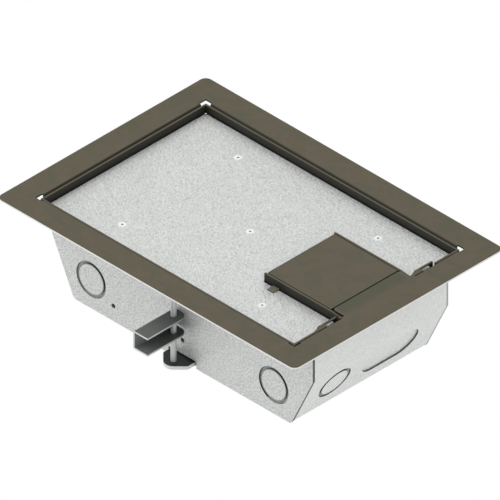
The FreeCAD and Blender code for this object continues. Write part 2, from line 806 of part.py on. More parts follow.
def make_screw_ring():
    """Push-on ring that keeps the screw in the foot plate."""
    top = floor_depth + ring_gap
    ring = upright(ring_radius, 0, -clamp_y, top + ring_sheet, top)
    return ring.cut(upright(journal_radius, 0, -clamp_y, top + ring_sheet, top))


def make_clamp_nut():
    """Round thread insert: a shank in the arm's lower flange and a body under it."""
    shank = upright(nut_shank_radius, 0, -clamp_y, arm_floor_depth, arm_floor_depth - arm_sheet)
    body = upright(nut_body_radius, 0, -clamp_y, arm_floor_depth + nut_body_height, arm_floor_depth)
    bore = upright(clamp_screw_radius + running_gap, 0, -clamp_y, arm_floor_depth + nut_body_height,
                   arm_top_depth)
    return fuse([shank, body]).cut(bore)


def make_clamp_arm():
    """Channel arm with a round nose on one side, so that it swings one way only."""
    half = arm_width / 2
    section = [(half, arm_top_depth), (-half, arm_top_depth), (-half, arm_floor_depth),
               (half, arm_floor_depth)]
    arm = bent_strip(section, arm_sheet, arm_bend_radius, -arm_outer_y, -arm_inner_y, across)
    outline = [(-half, -arm_outer_y), (half, -arm_outer_y), (half, -arm_inner_y), (-half, -arm_inner_y)]
    arm = arm.common(plan_prism(outline, [0, 0, arm_nose_radius, arm_corner_radius], box_depth, 0))
    top_hole = upright(clamp_screw_radius + 2 * running_gap, 0, -clamp_y, arm_top_depth + arm_sheet,
                       arm_top_depth)
    floor_hole = upright(nut_shank_radius + running_gap, 0, -clamp_y, arm_floor_depth,
                         arm_floor_depth - arm_sheet)
    return arm.cut(top_hole).cut(floor_hole)


def make_clamp_foot():
    """Thick foot plate that passes through the side panel and lies on the floor of the wrap."""
    half = foot_half_width
    shoulder = -foot_apex_y + half
    outline = [(half, -foot_tail_y), (-half, -foot_tail_y), (-half, shoulder), (0, -foot_apex_y),
               (half, shoulder)]
    radii = [foot_tail_radius, foot_tail_radius, foot_shoulder_radius, foot_apex_radius, foot_shoulder_radius]
    foot = plan_prism(outline, radii, floor_depth, foot_top_depth)
    foot = foot.cut(upright(journal_radius + 2 * running_gap, 0, -clamp_y, floor_depth, foot_top_depth))
    return foot.cut(foot_rivet_shanks())


def foot_rivet_shanks():
    """Shanks of the rivets of both foot plates, through the floor."""
    return Part.makeCompound([upright(rivet_shank_radius, x, y, wrap_depth, foot_top_depth)
                              for x in (-foot_rivet_x, foot_rivet_x) for y in (-foot_rivet_y, foot_rivet_y)])


def make_foot_rivets():
    """Foot plate rivets with a head above the plate and one under the floor."""
    rivets = []
    for shank in foot_rivet_shanks().Solids:
        x = shank.BoundBox.Center.x
        y = shank.BoundBox.Center.y
        top = upright(foot_rivet_head_radius, x, y, foot_top_depth, foot_top_depth - foot_rivet_head_height)
        bottom = upright(foot_rivet_head_radius, x, y, wrap_depth + foot_rivet_head_height, wrap_depth)
        rivets.append(fuse([shank, top, bottom]))
    return Part.makeCompound(rivets)


# ---------------------------------------------------------------- devices inside
def make_front_rail():
    """Angle on the front panel that carries the device plates."""
    seat = device_plate_depth + device_plate_sheet
    path = [(-inner_half_width + rail_leg, seat), (-inner_half_width, seat),
            (-inner_half_width, seat + rail_leg)]
    rail = bent_strip(path, rail_sheet, rail_sheet / 2, rail_left_x, rail_right_x, along)
    return rail.cut(plate_screw_shanks())


def device_plate(left_x, length):
    """Blank device plate between the side panels."""
    half = inner_half_width - plate_side_gap
    return plan_prism(rectangle(left_x, left_x + length, -half, half), [device_plate_corner_radius] * 4,
                      device_plate_depth + device_plate_sheet, device_plate_depth)


def receptacle_x():
    """Middle of the receptacles along the box."""
    return power_plate_left_x + power_plate_length / 2


def make_power_plate():
    """Plate with one cut-out for each duplex receptacle."""
    plate = device_plate(power_plate_left_x, power_plate_length)
    half_x = receptacle_length / 2 + cutout_gap
    half_y = receptacle_width / 2 + cutout_gap
    for y in (-receptacle_y, receptacle_y):
        x = receptacle_x()
        plate = plate.cut(block(x - half_x, x + half_x, y - half_y, y + half_y,
                                device_plate_depth + device_plate_sheet, device_plate_depth))
    return plate.cut(plate_screw_shanks()).cut(receptacle_screw_shanks())


def jack_places():
    """Plan positions of the data jacks, in one row across the box."""
    x = data_plate_left_x + data_plate_length / 2
    return [(x, (index - (jack_count - 1) / 2) * jack_pitch) for index in range(jack_count)]


def make_data_plate():
    """Plate with one cut-out for each data jack."""
    plate = device_plate(data_plate_left_x, data_plate_length)
    half_x = jack_length / 2
    half_y = jack_width / 2
    for x, y in jack_places():
        plate = plate.cut(block(x - half_x, x + half_x, y - half_y, y + half_y,
                                device_plate_depth + device_plate_sheet, device_plate_depth))
    return plate.cut(plate_screw_shanks())


def plate_screw_places():
    """Plan positions of the screws that hold both device plates to the rails."""
    y = inner_half_width - rail_leg / 2
    ends = []
    for left_x, length in ((power_plate_left_x, power_plate_length), (data_plate_left_x, data_plate_length)):
        ends += [left_x + plate_screw_inset, left_x + length - plate_screw_inset]
    return [(x, side * y) for x in ends for side in (-1, 1)]


def plate_screw_shanks():
    """Shanks of the device plate screws."""
    return Part.makeCompound([small_shank(x, y, device_plate_depth, small_screw_length)
                              for x, y in plate_screw_places()])


def make_plate_screws():
    """Screws that hold both device plates to the rails."""
    return Part.makeCompound([pan_screw(x, y, device_plate_depth, small_screw_length)
                              for x, y in plate_screw_places()])


def receptacle_screw_places():
    """Plan positions of the screws through the receptacle yokes."""
    return [(receptacle_x() + side * yoke_screw_pitch / 2, y)
            for side in (-1, 1) for y in (-receptacle_y, receptacle_y)]


def receptacle_screw_shanks():
    """Shanks of the receptacle screws below the yokes."""
    return Part.makeCompound([small_shank(x, y, yoke_depth, small_screw_length)
                              for x, y in receptacle_screw_places()])


def make_receptacle_screws():
    """Screws that hold the receptacles to the power plate."""
    return Part.makeCompound([pan_screw(x, y, yoke_depth, small_screw_length)
                              for x, y in receptacle_screw_places()])


def make_receptacle_body(y):
    """Moulded body under the yoke, stepped in at its base."""
    x = receptacle_x()
    half_x = receptacle_length / 2
    half_y = receptacle_width / 2
    radii = [receptacle_corner_radius] * 4
    step_depth = device_plate_depth + receptacle_step_height
    top = plan_prism(rectangle(x - half_x, x + half_x, y - half_y, y + half_y), radii,
                     step_depth, device_plate_depth)
    half_x -= receptacle_step_x
    half_y -= receptacle_step_y
    base = plan_prism(rectangle(x - half_x, x + half_x, y - half_y, y + half_y), radii,
                      device_plate_depth + receptacle_body_height, step_depth)
    return fuse([top, base])


def make_receptacle_yoke(y):
    """Steel strap between body and face, with a screw hole near each end."""
    x = receptacle_x()
    half_x = yoke_length / 2
    half_y = yoke_width / 2
    yoke = plan_prism(rectangle(x - half_x, x + half_x, y - half_y, y + half_y), [yoke_corner_radius] * 4,
                      device_plate_depth, yoke_depth)
    return yoke.cut(receptacle_screw_shanks())


def make_receptacle_face(y):
    """Two round outlet faces with flat sides on one base, with blade slots and earth holes."""
    x = receptacle_x()
    top = yoke_depth - receptacle_face_height
    low = yoke_depth - blade_depth
    half_x = receptacle_length / 2 - face_inset_x
    half_y = receptacle_width / 2 - face_inset_y
    pieces = [plan_prism(rectangle(x - half_x, x + half_x, y - half_y, y + half_y), [face_corner_radius] * 4,
                         yoke_depth, yoke_depth - face_base_height)]
    slots = []
    for side in (-1, 1):
        centre = x + side * outlet_pitch / 2
        disc = upright(outlet_radius, centre, y, yoke_depth, top)
        pieces.append(disc.common(block(centre - outlet_half_height, centre + outlet_half_height,
                                        y - half_y, y + half_y, yoke_depth, top)))
        for way, length in ((-1, neutral_blade_length), (1, line_blade_length)):
            blade_y = y + way * blade_pitch / 2
            slots.append(block(centre + blade_start, centre + blade_start + length,
                               blade_y - blade_width / 2, blade_y + blade_width / 2, low, 0))
        slots.append(upright(earth_hole_radius, centre - earth_hole_reach, y, low, 0))
    return fuse(pieces).cut(Part.makeCompound(slots))


def make_data_jack(x, y):
    """Snap-in jack with a lip over the plate and an open socket in its top."""
    top = device_plate_depth - jack_lip_height
    lip_x = jack_length / 2 + jack_lip
    lip_y = jack_width / 2 + jack_lip
    lip = plan_prism(rectangle(x - lip_x, x + lip_x, y - lip_y, y + lip_y), [jack_corner_radius] * 4,
                     device_plate_depth, top)
    body = block(x - jack_length / 2, x + jack_length / 2, y - jack_width / 2, y + jack_width / 2,
                 top + jack_height, device_plate_depth)
    socket = block(x - socket_length / 2, x + socket_length / 2, y - socket_width / 2, y + socket_width / 2,
                   top + socket_depth, 0)
    latch = block(x, x + socket_length / 2 + latch_reach, y - latch_width / 2, y + latch_width / 2,
                  top + socket_depth, 0)
    return fuse([lip, body]).cut(socket).cut(latch)


def make_divider():
    """Partition between the power and data sides, with a foot on the floor and notches for the rails."""
    half = inner_half_width - wrap_sheet - plate_side_gap
    path = [(divider_x + divider_foot, floor_depth), (divider_x, floor_depth), (divider_x, divider_top_depth)]
    wall = bent_strip(path[::-1], divider_sheet, divider_sheet, -half, half, across)
    rail_top = device_plate_depth + device_plate_sheet - divider_rail_gap
    for side in (-1, 1):
        low, high = sorted((side * (inner_half_width - rail_leg - divider_rail_gap), side * (half + 1)))
        wall = wall.cut(block(divider_x - divider_sheet, divider_x + divider_sheet, low, high,
                              rail_top + rail_leg + 2 * divider_rail_gap, rail_top))
    return wall.cut(divider_screw_shanks())


def divider_screw_places():
    """Plan positions of the screws through the divider's foot."""
    return [(divider_x + 0.6 * divider_foot, side * divider_screw_y) for side in (-1, 1)]


def divider_screw_shanks():
    """Shanks of the divider screws, through its foot and the floor."""
    return Part.makeCompound([small_shank(x, y, floor_depth - divider_sheet, divider_screw_length)
                              for x, y in divider_screw_places()])


def make_divider_screws():
    """Screws that hold the divider to the floor."""
    return Part.makeCompound([pan_screw(x, y, floor_depth - divider_sheet, divider_screw_length)
                              for x, y in divider_screw_places()])


def make_ground_screw():
    """Earth screw in the floor: a hexagon head on a washer."""
    radius = ground_hex / math.sqrt(3)
    corners = [(ground_screw_x + radius * math.cos(math.radians(60 * turn)),
                radius * math.sin(math.radians(60 * turn))) for turn in range(6)]
    seat = floor_depth - ground_washer_sheet
    top = seat - ground_hex_height
    head = plan_prism(corners, [0] * 6, seat, top)
    washer = upright(ground_washer / 2, ground_screw_x, 0, floor_depth, seat)
    shank = upright(ground_screw_radius, ground_screw_x, 0, wrap_depth + ground_screw_end, floor_depth)
    slot = block(ground_screw_x - radius, ground_screw_x + radius,
                 -ground_slot_width / 2, ground_slot_width / 2, top + ground_slot_depth, top)
    return fuse([head, washer, shank]).cut(slot)


# ---------------------------------------------------------------- assembly
parts["trim_frame"] = make_trim_frame()
parts["tongue_lip"] = make_tongue_lip()
parts["body_wrap"] = make_body_wrap()
front_panel = make_front_panel()
parts["front_side_panel"] = front_panel.cut(frame_screws(0))
parts["rear_side_panel"] = mirror_y(front_panel).cut(frame_screws(0))
parts["frame_screws"] = frame_screws(0)
parts["side_knockouts"] = make_side_knockouts()
parts["end_knockouts"] = make_end_knockouts()
parts["right_opening_cover"] = make_right_cover()
parts["left_opening_cover"] = half_turn(parts["right_opening_cover"])
for side, start in hinge_starts.items():
    parts[side + "_hinge_bracket"] = make_hinge_bracket(start)
    parts[side + "_hinge_leaf"] = make_hinge_leaf(start)
    parts[side + "_hinge_pin"] = make_hinge_pin(start)
parts["lid_tray"] = make_lid_tray()
parts["lid_plate"] = make_lid_plate()
parts["lid_rivets"] = make_lid_rivets()
parts["cable_door"] = make_cable_door()
parts["door_hinge_pin"] = make_door_pin()
parts["door_rest_strip"] = rest_strip(0)
for piece, shape in (("screw", make_clamp_screw()), ("screw_ring", make_screw_ring()),
                     ("nut", make_clamp_nut()), ("arm", make_clamp_arm()), ("foot", make_clamp_foot())):
    parts["front_clamp_" + piece] = shape
    parts["rear_clamp_" + piece] = half_turn(shape)
parts["foot_rivets"] = make_foot_rivets()
front_rail = make_front_rail()
parts["front_device_rail"] = front_rail
parts["rear_device_rail"] = mirror_y(front_rail)
parts["power_plate"] = make_power_plate()
parts["data_plate"] = make_data_plate()
parts["plate_screws"] = make_plate_screws()
for side, y in (("front", -receptacle_y), ("rear", receptacle_y)):
    parts[side + "_receptacle_body"] = make_receptacle_body(y)
    parts[side + "_receptacle_yoke"] = make_receptacle_yoke(y)
    parts[side + "_receptacle_face"] = make_receptacle_face(y)
parts["receptacle_screws"] = make_receptacle_screws()
for number, place in enumerate(jack_places(), start=1):
    parts["data_jack_%d" % number] = make_data_jack(*place)
parts["divider"] = make_divider()
parts["divider_screws"] = make_divider_screws()
parts["ground_screw"] = make_ground_screw()

os.makedirs("parts", exist_ok=True)
for name, shape in parts.items():
    shape.exportStep("parts/%s.step" % name)
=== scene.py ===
"""Dresses the floor socket box: a finish for every sheet and moulding, the small fittings, light and camera."""

import logging
import math
from collections.abc import Callable
from dataclasses import dataclass
from enum import Enum

import bpy
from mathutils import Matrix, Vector


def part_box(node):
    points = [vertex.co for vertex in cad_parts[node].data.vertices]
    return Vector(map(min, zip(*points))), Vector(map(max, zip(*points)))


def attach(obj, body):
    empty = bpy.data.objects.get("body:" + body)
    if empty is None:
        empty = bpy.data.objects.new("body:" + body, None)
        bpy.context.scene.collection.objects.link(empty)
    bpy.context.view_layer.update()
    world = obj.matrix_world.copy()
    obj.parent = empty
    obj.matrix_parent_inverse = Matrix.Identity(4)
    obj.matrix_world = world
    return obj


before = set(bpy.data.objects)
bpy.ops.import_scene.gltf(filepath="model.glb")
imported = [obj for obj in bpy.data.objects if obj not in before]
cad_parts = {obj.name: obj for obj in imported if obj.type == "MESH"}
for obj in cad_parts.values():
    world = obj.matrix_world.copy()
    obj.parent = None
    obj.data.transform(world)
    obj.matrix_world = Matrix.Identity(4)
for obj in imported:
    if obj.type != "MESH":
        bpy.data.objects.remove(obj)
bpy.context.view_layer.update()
LOG = logging.getLogger("floor_box")
MM = 0.001
Colour = tuple[float, float, float]
Socket = bpy.types.NodeSocket
Feed = float | tuple | Socket | None

UPRIGHT = 0.5  # a face that looks along an axis by less than this counts as a wall beside it
LEVEL = 0.9  # a face that looks along an axis by more than this counts as level
NOISE_BAND = (0.3, 0.7)  # most values of a noise lie in here
CRISP_BAND = (0.35, 0.65)  # mapped from here, a noise has flat peaks and valleys
ROUGH_SPAN = (0.08, -0.05)  # added to the roughness in a noise's valleys and on its peaks
BEVEL_SAMPLES = 6
MIX_COLOURS = (6, 7)  # the Mix node's two colour sockets
MIX_RESULT = 2  # the Mix node's colour output
DISPLAY_KNEE, DISPLAY_SLOPE, DISPLAY_OFFSET, DISPLAY_POWER = 0.04045, 12.92, 0.055, 2.4


def tone(red: float, green: float, blue: float) -> Colour:
    """Colour from display values between 0 and 255.

    Args:
        red: the red value.
        green: the green value.
        blue: the blue value.

    Returns:
        The same colour in linear light.
    """
    linear = []
    for value in (red, green, blue):
        share = value / 255
        curved = ((share + DISPLAY_OFFSET) / (1 + DISPLAY_OFFSET)) ** DISPLAY_POWER
        linear.append(share / DISPLAY_SLOPE if share <= DISPLAY_KNEE else curved)
    return tuple(linear)


class Cut(Enum):
    """Where the sheared edges of a sheet lie, and which slugs get painted shade in their grooves."""

    NOWHERE = "nowhere"
    SIDE_PANEL = "faces that look along the box"
    WRAP = "faces that look across the box, and the walls of the openings in the slopes"
    SIDE_SLUG = "round walls and groove floors of the slugs in the side panels"
    END_SLUG = "round walls and groove floors of the slugs in the slopes"


# ------------------------------------------------------------------ shader building
class Shader:
    """A material with one Principled shader, and short calls for the nodes that feed it."""

    def __init__(self, name: str) -> None:
        """Starts an empty material.

        Args:
            name: the material's name.
        """
        self.material = bpy.data.materials.new(name)
        self.material.use_nodes = True
        self.tree = self.material.node_tree
        self.principled = self.tree.nodes["Principled BSDF"]
        self.place = self.tree.nodes.new("ShaderNodeTexCoord").outputs["Object"]

    def plug(self, value: Feed, socket: Socket) -> None:
        """Sets a socket to a number or colour, or links an output to it.

        Args:
            value: a number, a colour, an output, or None, which leaves the socket as it is.
            socket: the socket to feed.
        """
        if isinstance(value, Socket):
            self.tree.links.new(value, socket)
        elif value is not None:
            socket.default_value = value

    def maths(self, operation: str, first: Feed, second: Feed = None) -> Socket:
        """Adds a Math node.

        Args:
            operation: the node's operation.
            first: its first value, a number or an output.
            second: its second value, a number or an output.

        Returns:
            The node's output.
        """
        node = self.tree.nodes.new("ShaderNodeMath")
        node.operation = operation
        self.plug(first, node.inputs[0])
        self.plug(second, node.inputs[1])
        return node.outputs[0]

    def over(self, value: Feed, edge: Feed) -> Socket:
        """Mask that is 1 where the value is above the edge."""
        return self.maths("GREATER_THAN", value, edge)

    def under(self, value: Feed, edge: Feed) -> Socket:
        """Mask that is 1 where the value is below the edge."""
        return self.maths("LESS_THAN", value, edge)

    def both(self, first: Feed, second: Feed) -> Socket:
        """Mask that is 1 where both masks are."""
        return self.maths("MULTIPLY", first, second)

    def either(self, first: Feed, second: Feed) -> Socket:
        """Mask that is 1 where one of the masks is."""
        return self.maths("MAXIMUM", first, second)

    def noise(self, size: float, detail: float = 2.0, swirl: float = 0.0, shift: float = 0.0) -> Socket:
        """Adds a noise whose grains have the given size.

        Args:
            size: the size of one grain, in metres.
            detail: the noise's octaves.
            swirl: how far the grains are drawn into each other.
            shift: how far along X, along Y and downwards from itself each point reads the noise, in metres.

        Returns:
            The noise's value.
        """
        mapping = self.tree.nodes.new("ShaderNodeMapping")
        self.plug(self.place, mapping.inputs["Vector"])
        mapping.inputs["Location"].default_value = (shift, shift, -shift)
        node = self.tree.nodes.new("ShaderNodeTexNoise")
        self.plug(mapping.outputs["Vector"], node.inputs["Vector"])
        node.inputs["Scale"].default_value = 1 / size
        node.inputs["Detail"].default_value = detail
        node.inputs["Distortion"].default_value = swirl
        return node.outputs["Fac"]

    def spread(self, value: Socket, low: float, high: float, to_low: float = 0.0,
               to_high: float = 1.0) -> Socket:
        """Maps a value from one range to another, clamped.

        Args:
            value: the output to map.
            low: the value that becomes to_low.
            high: the value that becomes to_high.
            to_low: the result at low.
            to_high: the result at high.

        Returns:
            The mapped value.
        """
        node = self.tree.nodes.new("ShaderNodeMapRange")
        self.plug(value, node.inputs["Value"])
        for name, number in (("From Min", low), ("From Max", high), ("To Min", to_low), ("To Max", to_high)):
            node.inputs[name].default_value = number
        return node.outputs["Result"]

    def mottle(self, main: Socket, other: Socket, weight: float,
               band: tuple[float, float] = NOISE_BAND) -> Socket:
        """Adds two noises up to one value from 0 to 1.

        Args:
            main: the noise that counts most.
            other: the noise that makes up the rest.
            weight: the main noise's part of the sum.
            band: the main noise's values that become its least and its most.

        Returns:
            The sum.
        """
        return self.maths("ADD", self.spread(main, *band, 0.0, weight),
                          self.spread(other, *NOISE_BAND, 0.0, 1 - weight))

    def blend(self, share: Feed, first: Feed, second: Feed) -> Socket:
        """Mixes two colours.

        Args:
            share: how much of the second colour shows, 0 to 1.
            first: a colour or an output.
            second: a colour or an output.

        Returns:
            The mixed colour.
        """
        node = self.tree.nodes.new("ShaderNodeMix")
        node.data_type = "RGBA"
        self.plug(share, node.inputs["Factor"])
        for index, value in zip(MIX_COLOURS, (first, second)):
            if isinstance(value, tuple):
                value = (*value, 1.0)
            self.plug(value, node.inputs[index])
        return node.outputs[MIX_RESULT]

    def axis_of(self, vector: Socket, axis: str) -> Socket:
        """Takes one of a vector's three values.

        Args:
            vector: the vector.
            axis: X, Y or Z.

        Returns:
            The value along that axis.
        """
        node = self.tree.nodes.new("ShaderNodeSeparateXYZ")
        self.plug(vector, node.inputs[0])
        return node.outputs[axis]

    def at(self, axis: str) -> Socket:
        """One coordinate of the place, in metres."""
        return self.axis_of(self.place, axis)

    def reach(self, axis: str) -> Socket:
        """Distance from the box's middle along one axis, in metres."""
        return self.maths("ABSOLUTE", self.at(axis))

    def facing(self, axis: str) -> Socket:
        """How far the surface looks along one of the part's own axes, -1 to 1."""
        return self.axis_of(self.tree.nodes.new("ShaderNodeTexCoord").outputs["Normal"], axis)

    def sideways(self, axis: str) -> Socket:
        """How far the surface looks either way along an axis, 0 to 1."""
        return self.maths("ABSOLUTE", self.facing(axis))

    def wall(self, axis: str = "Z") -> Socket:
        """Mask for the faces that stand upright on a sheet whose flat side looks along the axis."""
        return self.under(self.sideways(axis), UPRIGHT)

    def half_turn_quarters(self) -> Socket:
        """Mask for the box's right front quarter and for the one that a half-turn brings there."""
        return self.under(self.both(self.at("X"), self.at("Y")), 0.0)

    def ring(self, middles: list[Vector], inside: float, outside: float) -> Socket:
        """Mask that is 1 in a round band about each of some points.

        Args:
            middles: the points.
            inside: the band's inner radius, in metres.
            outside: its outer radius, in metres.

        Returns:
            The mask.
        """
        mask = 0.0
        for middle in middles:
            node = self.tree.nodes.new("ShaderNodeVectorMath")
            node.operation = "DISTANCE"
            self.plug(self.place, node.inputs[0])
            self.plug(tuple(middle), node.inputs[1])
            away = node.outputs["Value"]
            mask = self.either(self.both(self.over(away, inside), self.under(away, outside)), mask)
        return mask

    def colour(self, value: Feed) -> None:
        """Gives the shader its base colour."""
        self.plug((*value, 1.0) if isinstance(value, tuple) else value, self.principled.inputs["Base Color"])

    def set(self, **values: float) -> None:
        """Sets the shader's own sockets, by their names with underscores for spaces."""
        for name, value in values.items():
            self.principled.inputs[name.replace("_", " ")].default_value = value

    def roughen(self, value: Socket, middle: float, span: tuple[float, float] = ROUGH_SPAN) -> None:
        """Varies the roughness with a noise.

        Args:
            value: the noise.
            middle: the roughness that it varies about.
            span: what is added in the noise's valleys, and on its peaks.
        """
        valley, peak = span
        rough = self.spread(value, *NOISE_BAND, middle + valley, middle + peak)
        self.plug(rough, self.principled.inputs["Roughness"])

    def relief(self, height: Socket, depth: float, softened: float = 0.0) -> None:
        """Adds a bump over an optional softening of the edges.

        Args:
            height: the bump's height, 0 to 1.
            depth: the depth of the relief, in metres.
            softened: the radius of the shaded edge rounding, in metres.
        """
        bump = self.tree.nodes.new("ShaderNodeBump")
        bump.inputs["Distance"].default_value = depth
        self.plug(height, bump.inputs["Height"])
        if softened:
            bevel = self.tree.nodes.new("ShaderNodeBevel")
            bevel.samples = BEVEL_SAMPLES
            bevel.inputs["Radius"].default_value = softened
            self.plug(bevel.outputs["Normal"], bump.inputs["Normal"])
        self.plug(bump.outputs["Normal"], self.principled.inputs["Normal"])


# ------------------------------------------------------------------ finishes
@dataclass(frozen=True)
class Galvanised:
    """Hot-dip zinc on sheet steel, with a fine wrinkled skin and darker sheared edges; painted shade and
    highlight on the wrinkles' flanks, and painted shade along the seams and in the slugs' grooves.
    """

    name: str = "galvanised"
    cut: Cut = Cut.NOWHERE
    colour: Colour = tone(223, 225, 223)
    dull: Colour = tone(204, 206, 204)
    # painted shade and painted highlight on the two flanks of each wrinkle
    shaded: Colour = tone(150, 152, 152)
    lit: Colour = tone(250, 251, 250)
    # dark grey of the sheared edges; at the two seams, on the panels' edges and along the wrap, it is painted
    # shade
    sheared: Colour = tone(88, 90, 88)
    # paler grey of the panels' sheared edges away from the two seams
    pale_shear: Colour = tone(172, 174, 172)
    # painted shade for the knockout slugs: groove floor, a ring about the rim, and the groove wall near black
    groove_shade: Colour = tone(160, 162, 160)
    rim_shade: Colour = tone(146, 148, 146)
    wall: Colour = tone(38, 40, 38)
    # plain white for a disc round each rivet on the lid plate
    halo_white: Colour = (1.0, 1.0, 1.0)
    roughness: float = 0.45
    metallic: float = 0.45
    grain: float = 1.9 * MM
    octaves: float = 2.5
    swirl: float = 0.9
    cloud_grains: float = 16.0
    grain_weight: float = 0.8
    depth: float = 0.6 * MM
    softened: float = 0.3 * MM
    # how much of the painted wrinkle shade and highlight shows
    wrinkle_light_share: float = 0.45
    wrinkle_light_shift: float = 0.3
    wrinkle_light_band: tuple[float, float] = (0.02, 0.16)
    seam: float = 0.7 * MM
    wrap_fold: tuple[float, float] = (75.0 * MM, 80.2 * MM)
    wrap_end: float = 0.3
    slope_wall: float = 0.1
    rim_width: float = 3.6 * MM
    rim_margin: float = 2.0 * MM
    side_groove_depth: float = 0.5 * MM
    end_groove_depth: float = 0.4 * MM
    end_face: float = 0.97
    rivet_spacing: float = 8.0 * MM
    # radius of a plain white disc round each rivet; 0 for none
    rivet_halo: float = 0.0

    def make(self) -> bpy.types.Material:
        """Builds the material.

        Returns:
            The finished material.
        """
        shader = Shader(self.name)
        peel = shader.noise(self.grain, self.octaves, swirl=self.swirl)
        cloud = shader.noise(self.cloud_grains * self.grain)
        share = shader.mottle(peel, cloud, self.grain_weight, CRISP_BAND)
        zinc = self.painted_wrinkle_light(shader, peel, shader.blend(share, self.dull, self.colour))
        if self.rivet_halo:
            # a plain white disc round each rivet
            halo = shader.ring(heads("lid_rivets", self.rivet_spacing), 0.0, self.rivet_halo)
            zinc = shader.blend(halo, zinc, self.halo_white)
        shader.colour(self.edges_and_painted_shade(shader, zinc))
        shader.set(Metallic=self.metallic)
        shader.roughen(peel, self.roughness)
        shader.relief(peel, self.depth, self.softened)
        return shader.material

    def painted_wrinkle_light(self, shader: Shader, peel: Socket, zinc: Socket) -> Socket:
        """Paints shade on one flank of each wrinkle and a highlight on the other, as a lamp from one side would
        light them.

        Args:
            shader: the shader being built.
            peel: the wrinkles' height.
            zinc: the colour of the flat sheet.

        Returns:
            The colour with its wrinkles.
        """
        moved = shader.noise(self.grain, self.octaves, swirl=self.swirl, shift=self.wrinkle_light_shift * self.grain)
        slant = shader.maths("SUBTRACT", peel, moved)
        least, most = self.wrinkle_light_band
        zinc = shader.blend(shader.spread(slant, least, most, 0.0, self.wrinkle_light_share), zinc, self.shaded)
        return shader.blend(shader.spread(slant, -least, -most, 0.0, self.wrinkle_light_share), zinc, self.lit)

    def edges_and_painted_shade(self, shader: Shader, zinc: Socket) -> Socket:
        """Colours the sheared edges, darker at the two seams as painted shade, and paints shade in the slugs'
        grooves.

        Args:
            shader: the shader being built.
            zinc: the colour of the flat sheet.

        Returns:
            The colour with its edges.
        """
        if self.cut is Cut.SIDE_PANEL:
            edge = shader.both(shader.wall("Y"), shader.under(shader.sideways("Z"), LEVEL))
            # the panels' edges at the two seams are painted darker, as shade in the seams
            shear = shader.blend(shader.half_turn_quarters(), self.pale_shear, self.sheared)
            return shader.blend(edge, zinc, shear)
        if self.cut is Cut.WRAP:
            return shader.blend(self.wrap_edges(shader), zinc, self.sheared)
        if self.cut is Cut.SIDE_SLUG:
            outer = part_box("side_knockouts")[1].y
            floor = shader.under(shader.reach("Y"), outer - self.side_groove_depth)
            return self.slug(shader, zinc, "side_knockouts", floor, shader.wall("Y"))
        if self.cut is Cut.END_SLUG:
            normal, level = slope_plane()
            across = shader.maths("MULTIPLY", shader.reach("X"), normal.x)
            depth = shader.maths("ADD", across, shader.maths("MULTIPLY", shader.at("Z"), normal.z))
            floor = shader.under(depth, level - self.end_groove_depth)
            towards = shader.maths("MULTIPLY", shader.sideways("X"), normal.x)
            down = shader.maths("MULTIPLY", shader.sideways("Z"), normal.z)
            wall = shader.under(shader.maths("SUBTRACT", towards, down), self.end_face)
            return self.slug(shader, zinc, "end_knockouts", floor, wall)
        return zinc

    def wrap_edges(self, shader: Shader) -> Socket:
        """Mask for the wrap's opening walls, its cut ends and its gaping seams, the seams' dark being painted
        shade.

        Args:
            shader: the shader being built.

        Returns:
            The mask.
        """
        outside = shader.maths("SIGN", shader.at("X"))
        tilt = shader.maths("MULTIPLY", shader.facing("X"), shader.facing("Z"))
        opening = shader.over(shader.maths("MULTIPLY", outside, tilt), self.slope_wall)
        low, high = self.wrap_fold
        fold = shader.both(shader.over(shader.reach("Y"), low), shader.under(shader.reach("Y"), high))
        across = shader.both(shader.over(shader.sideways("Y"), self.wrap_end),
                             shader.maths("SUBTRACT", 1.0, fold))
        # painted shade along the two seams
        seam = shader.over(shader.reach("Y"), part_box("body_wrap")[1].y - self.seam)
        return shader.either(shader.either(opening, across), shader.both(seam, shader.half_turn_quarters()))

    def slug(self, shader: Shader, zinc: Socket, node: str, floor: Socket, wall: Socket) -> Socket:
        """Paints shade on a knockout slug: a darker ring about its rim, a grey groove floor and a near black
        groove wall.

        Args:
            shader: the shader being built.
            zinc: the colour of the flat sheet.
            node: the node of the slugs.
            floor: the mask of the groove's floor.
            wall: the mask of the groove's wall.

        Returns:
            The colour with the painted shade of rim, groove and wall.
        """
        middles, radius = slugs(node)
        rim_shade = shader.ring(middles, radius - self.rim_width, radius + self.rim_margin)
        face = shader.blend(floor, shader.blend(rim_shade, zinc, self.rim_shade), self.groove_shade)
        return shader.blend(wall, face, self.wall)


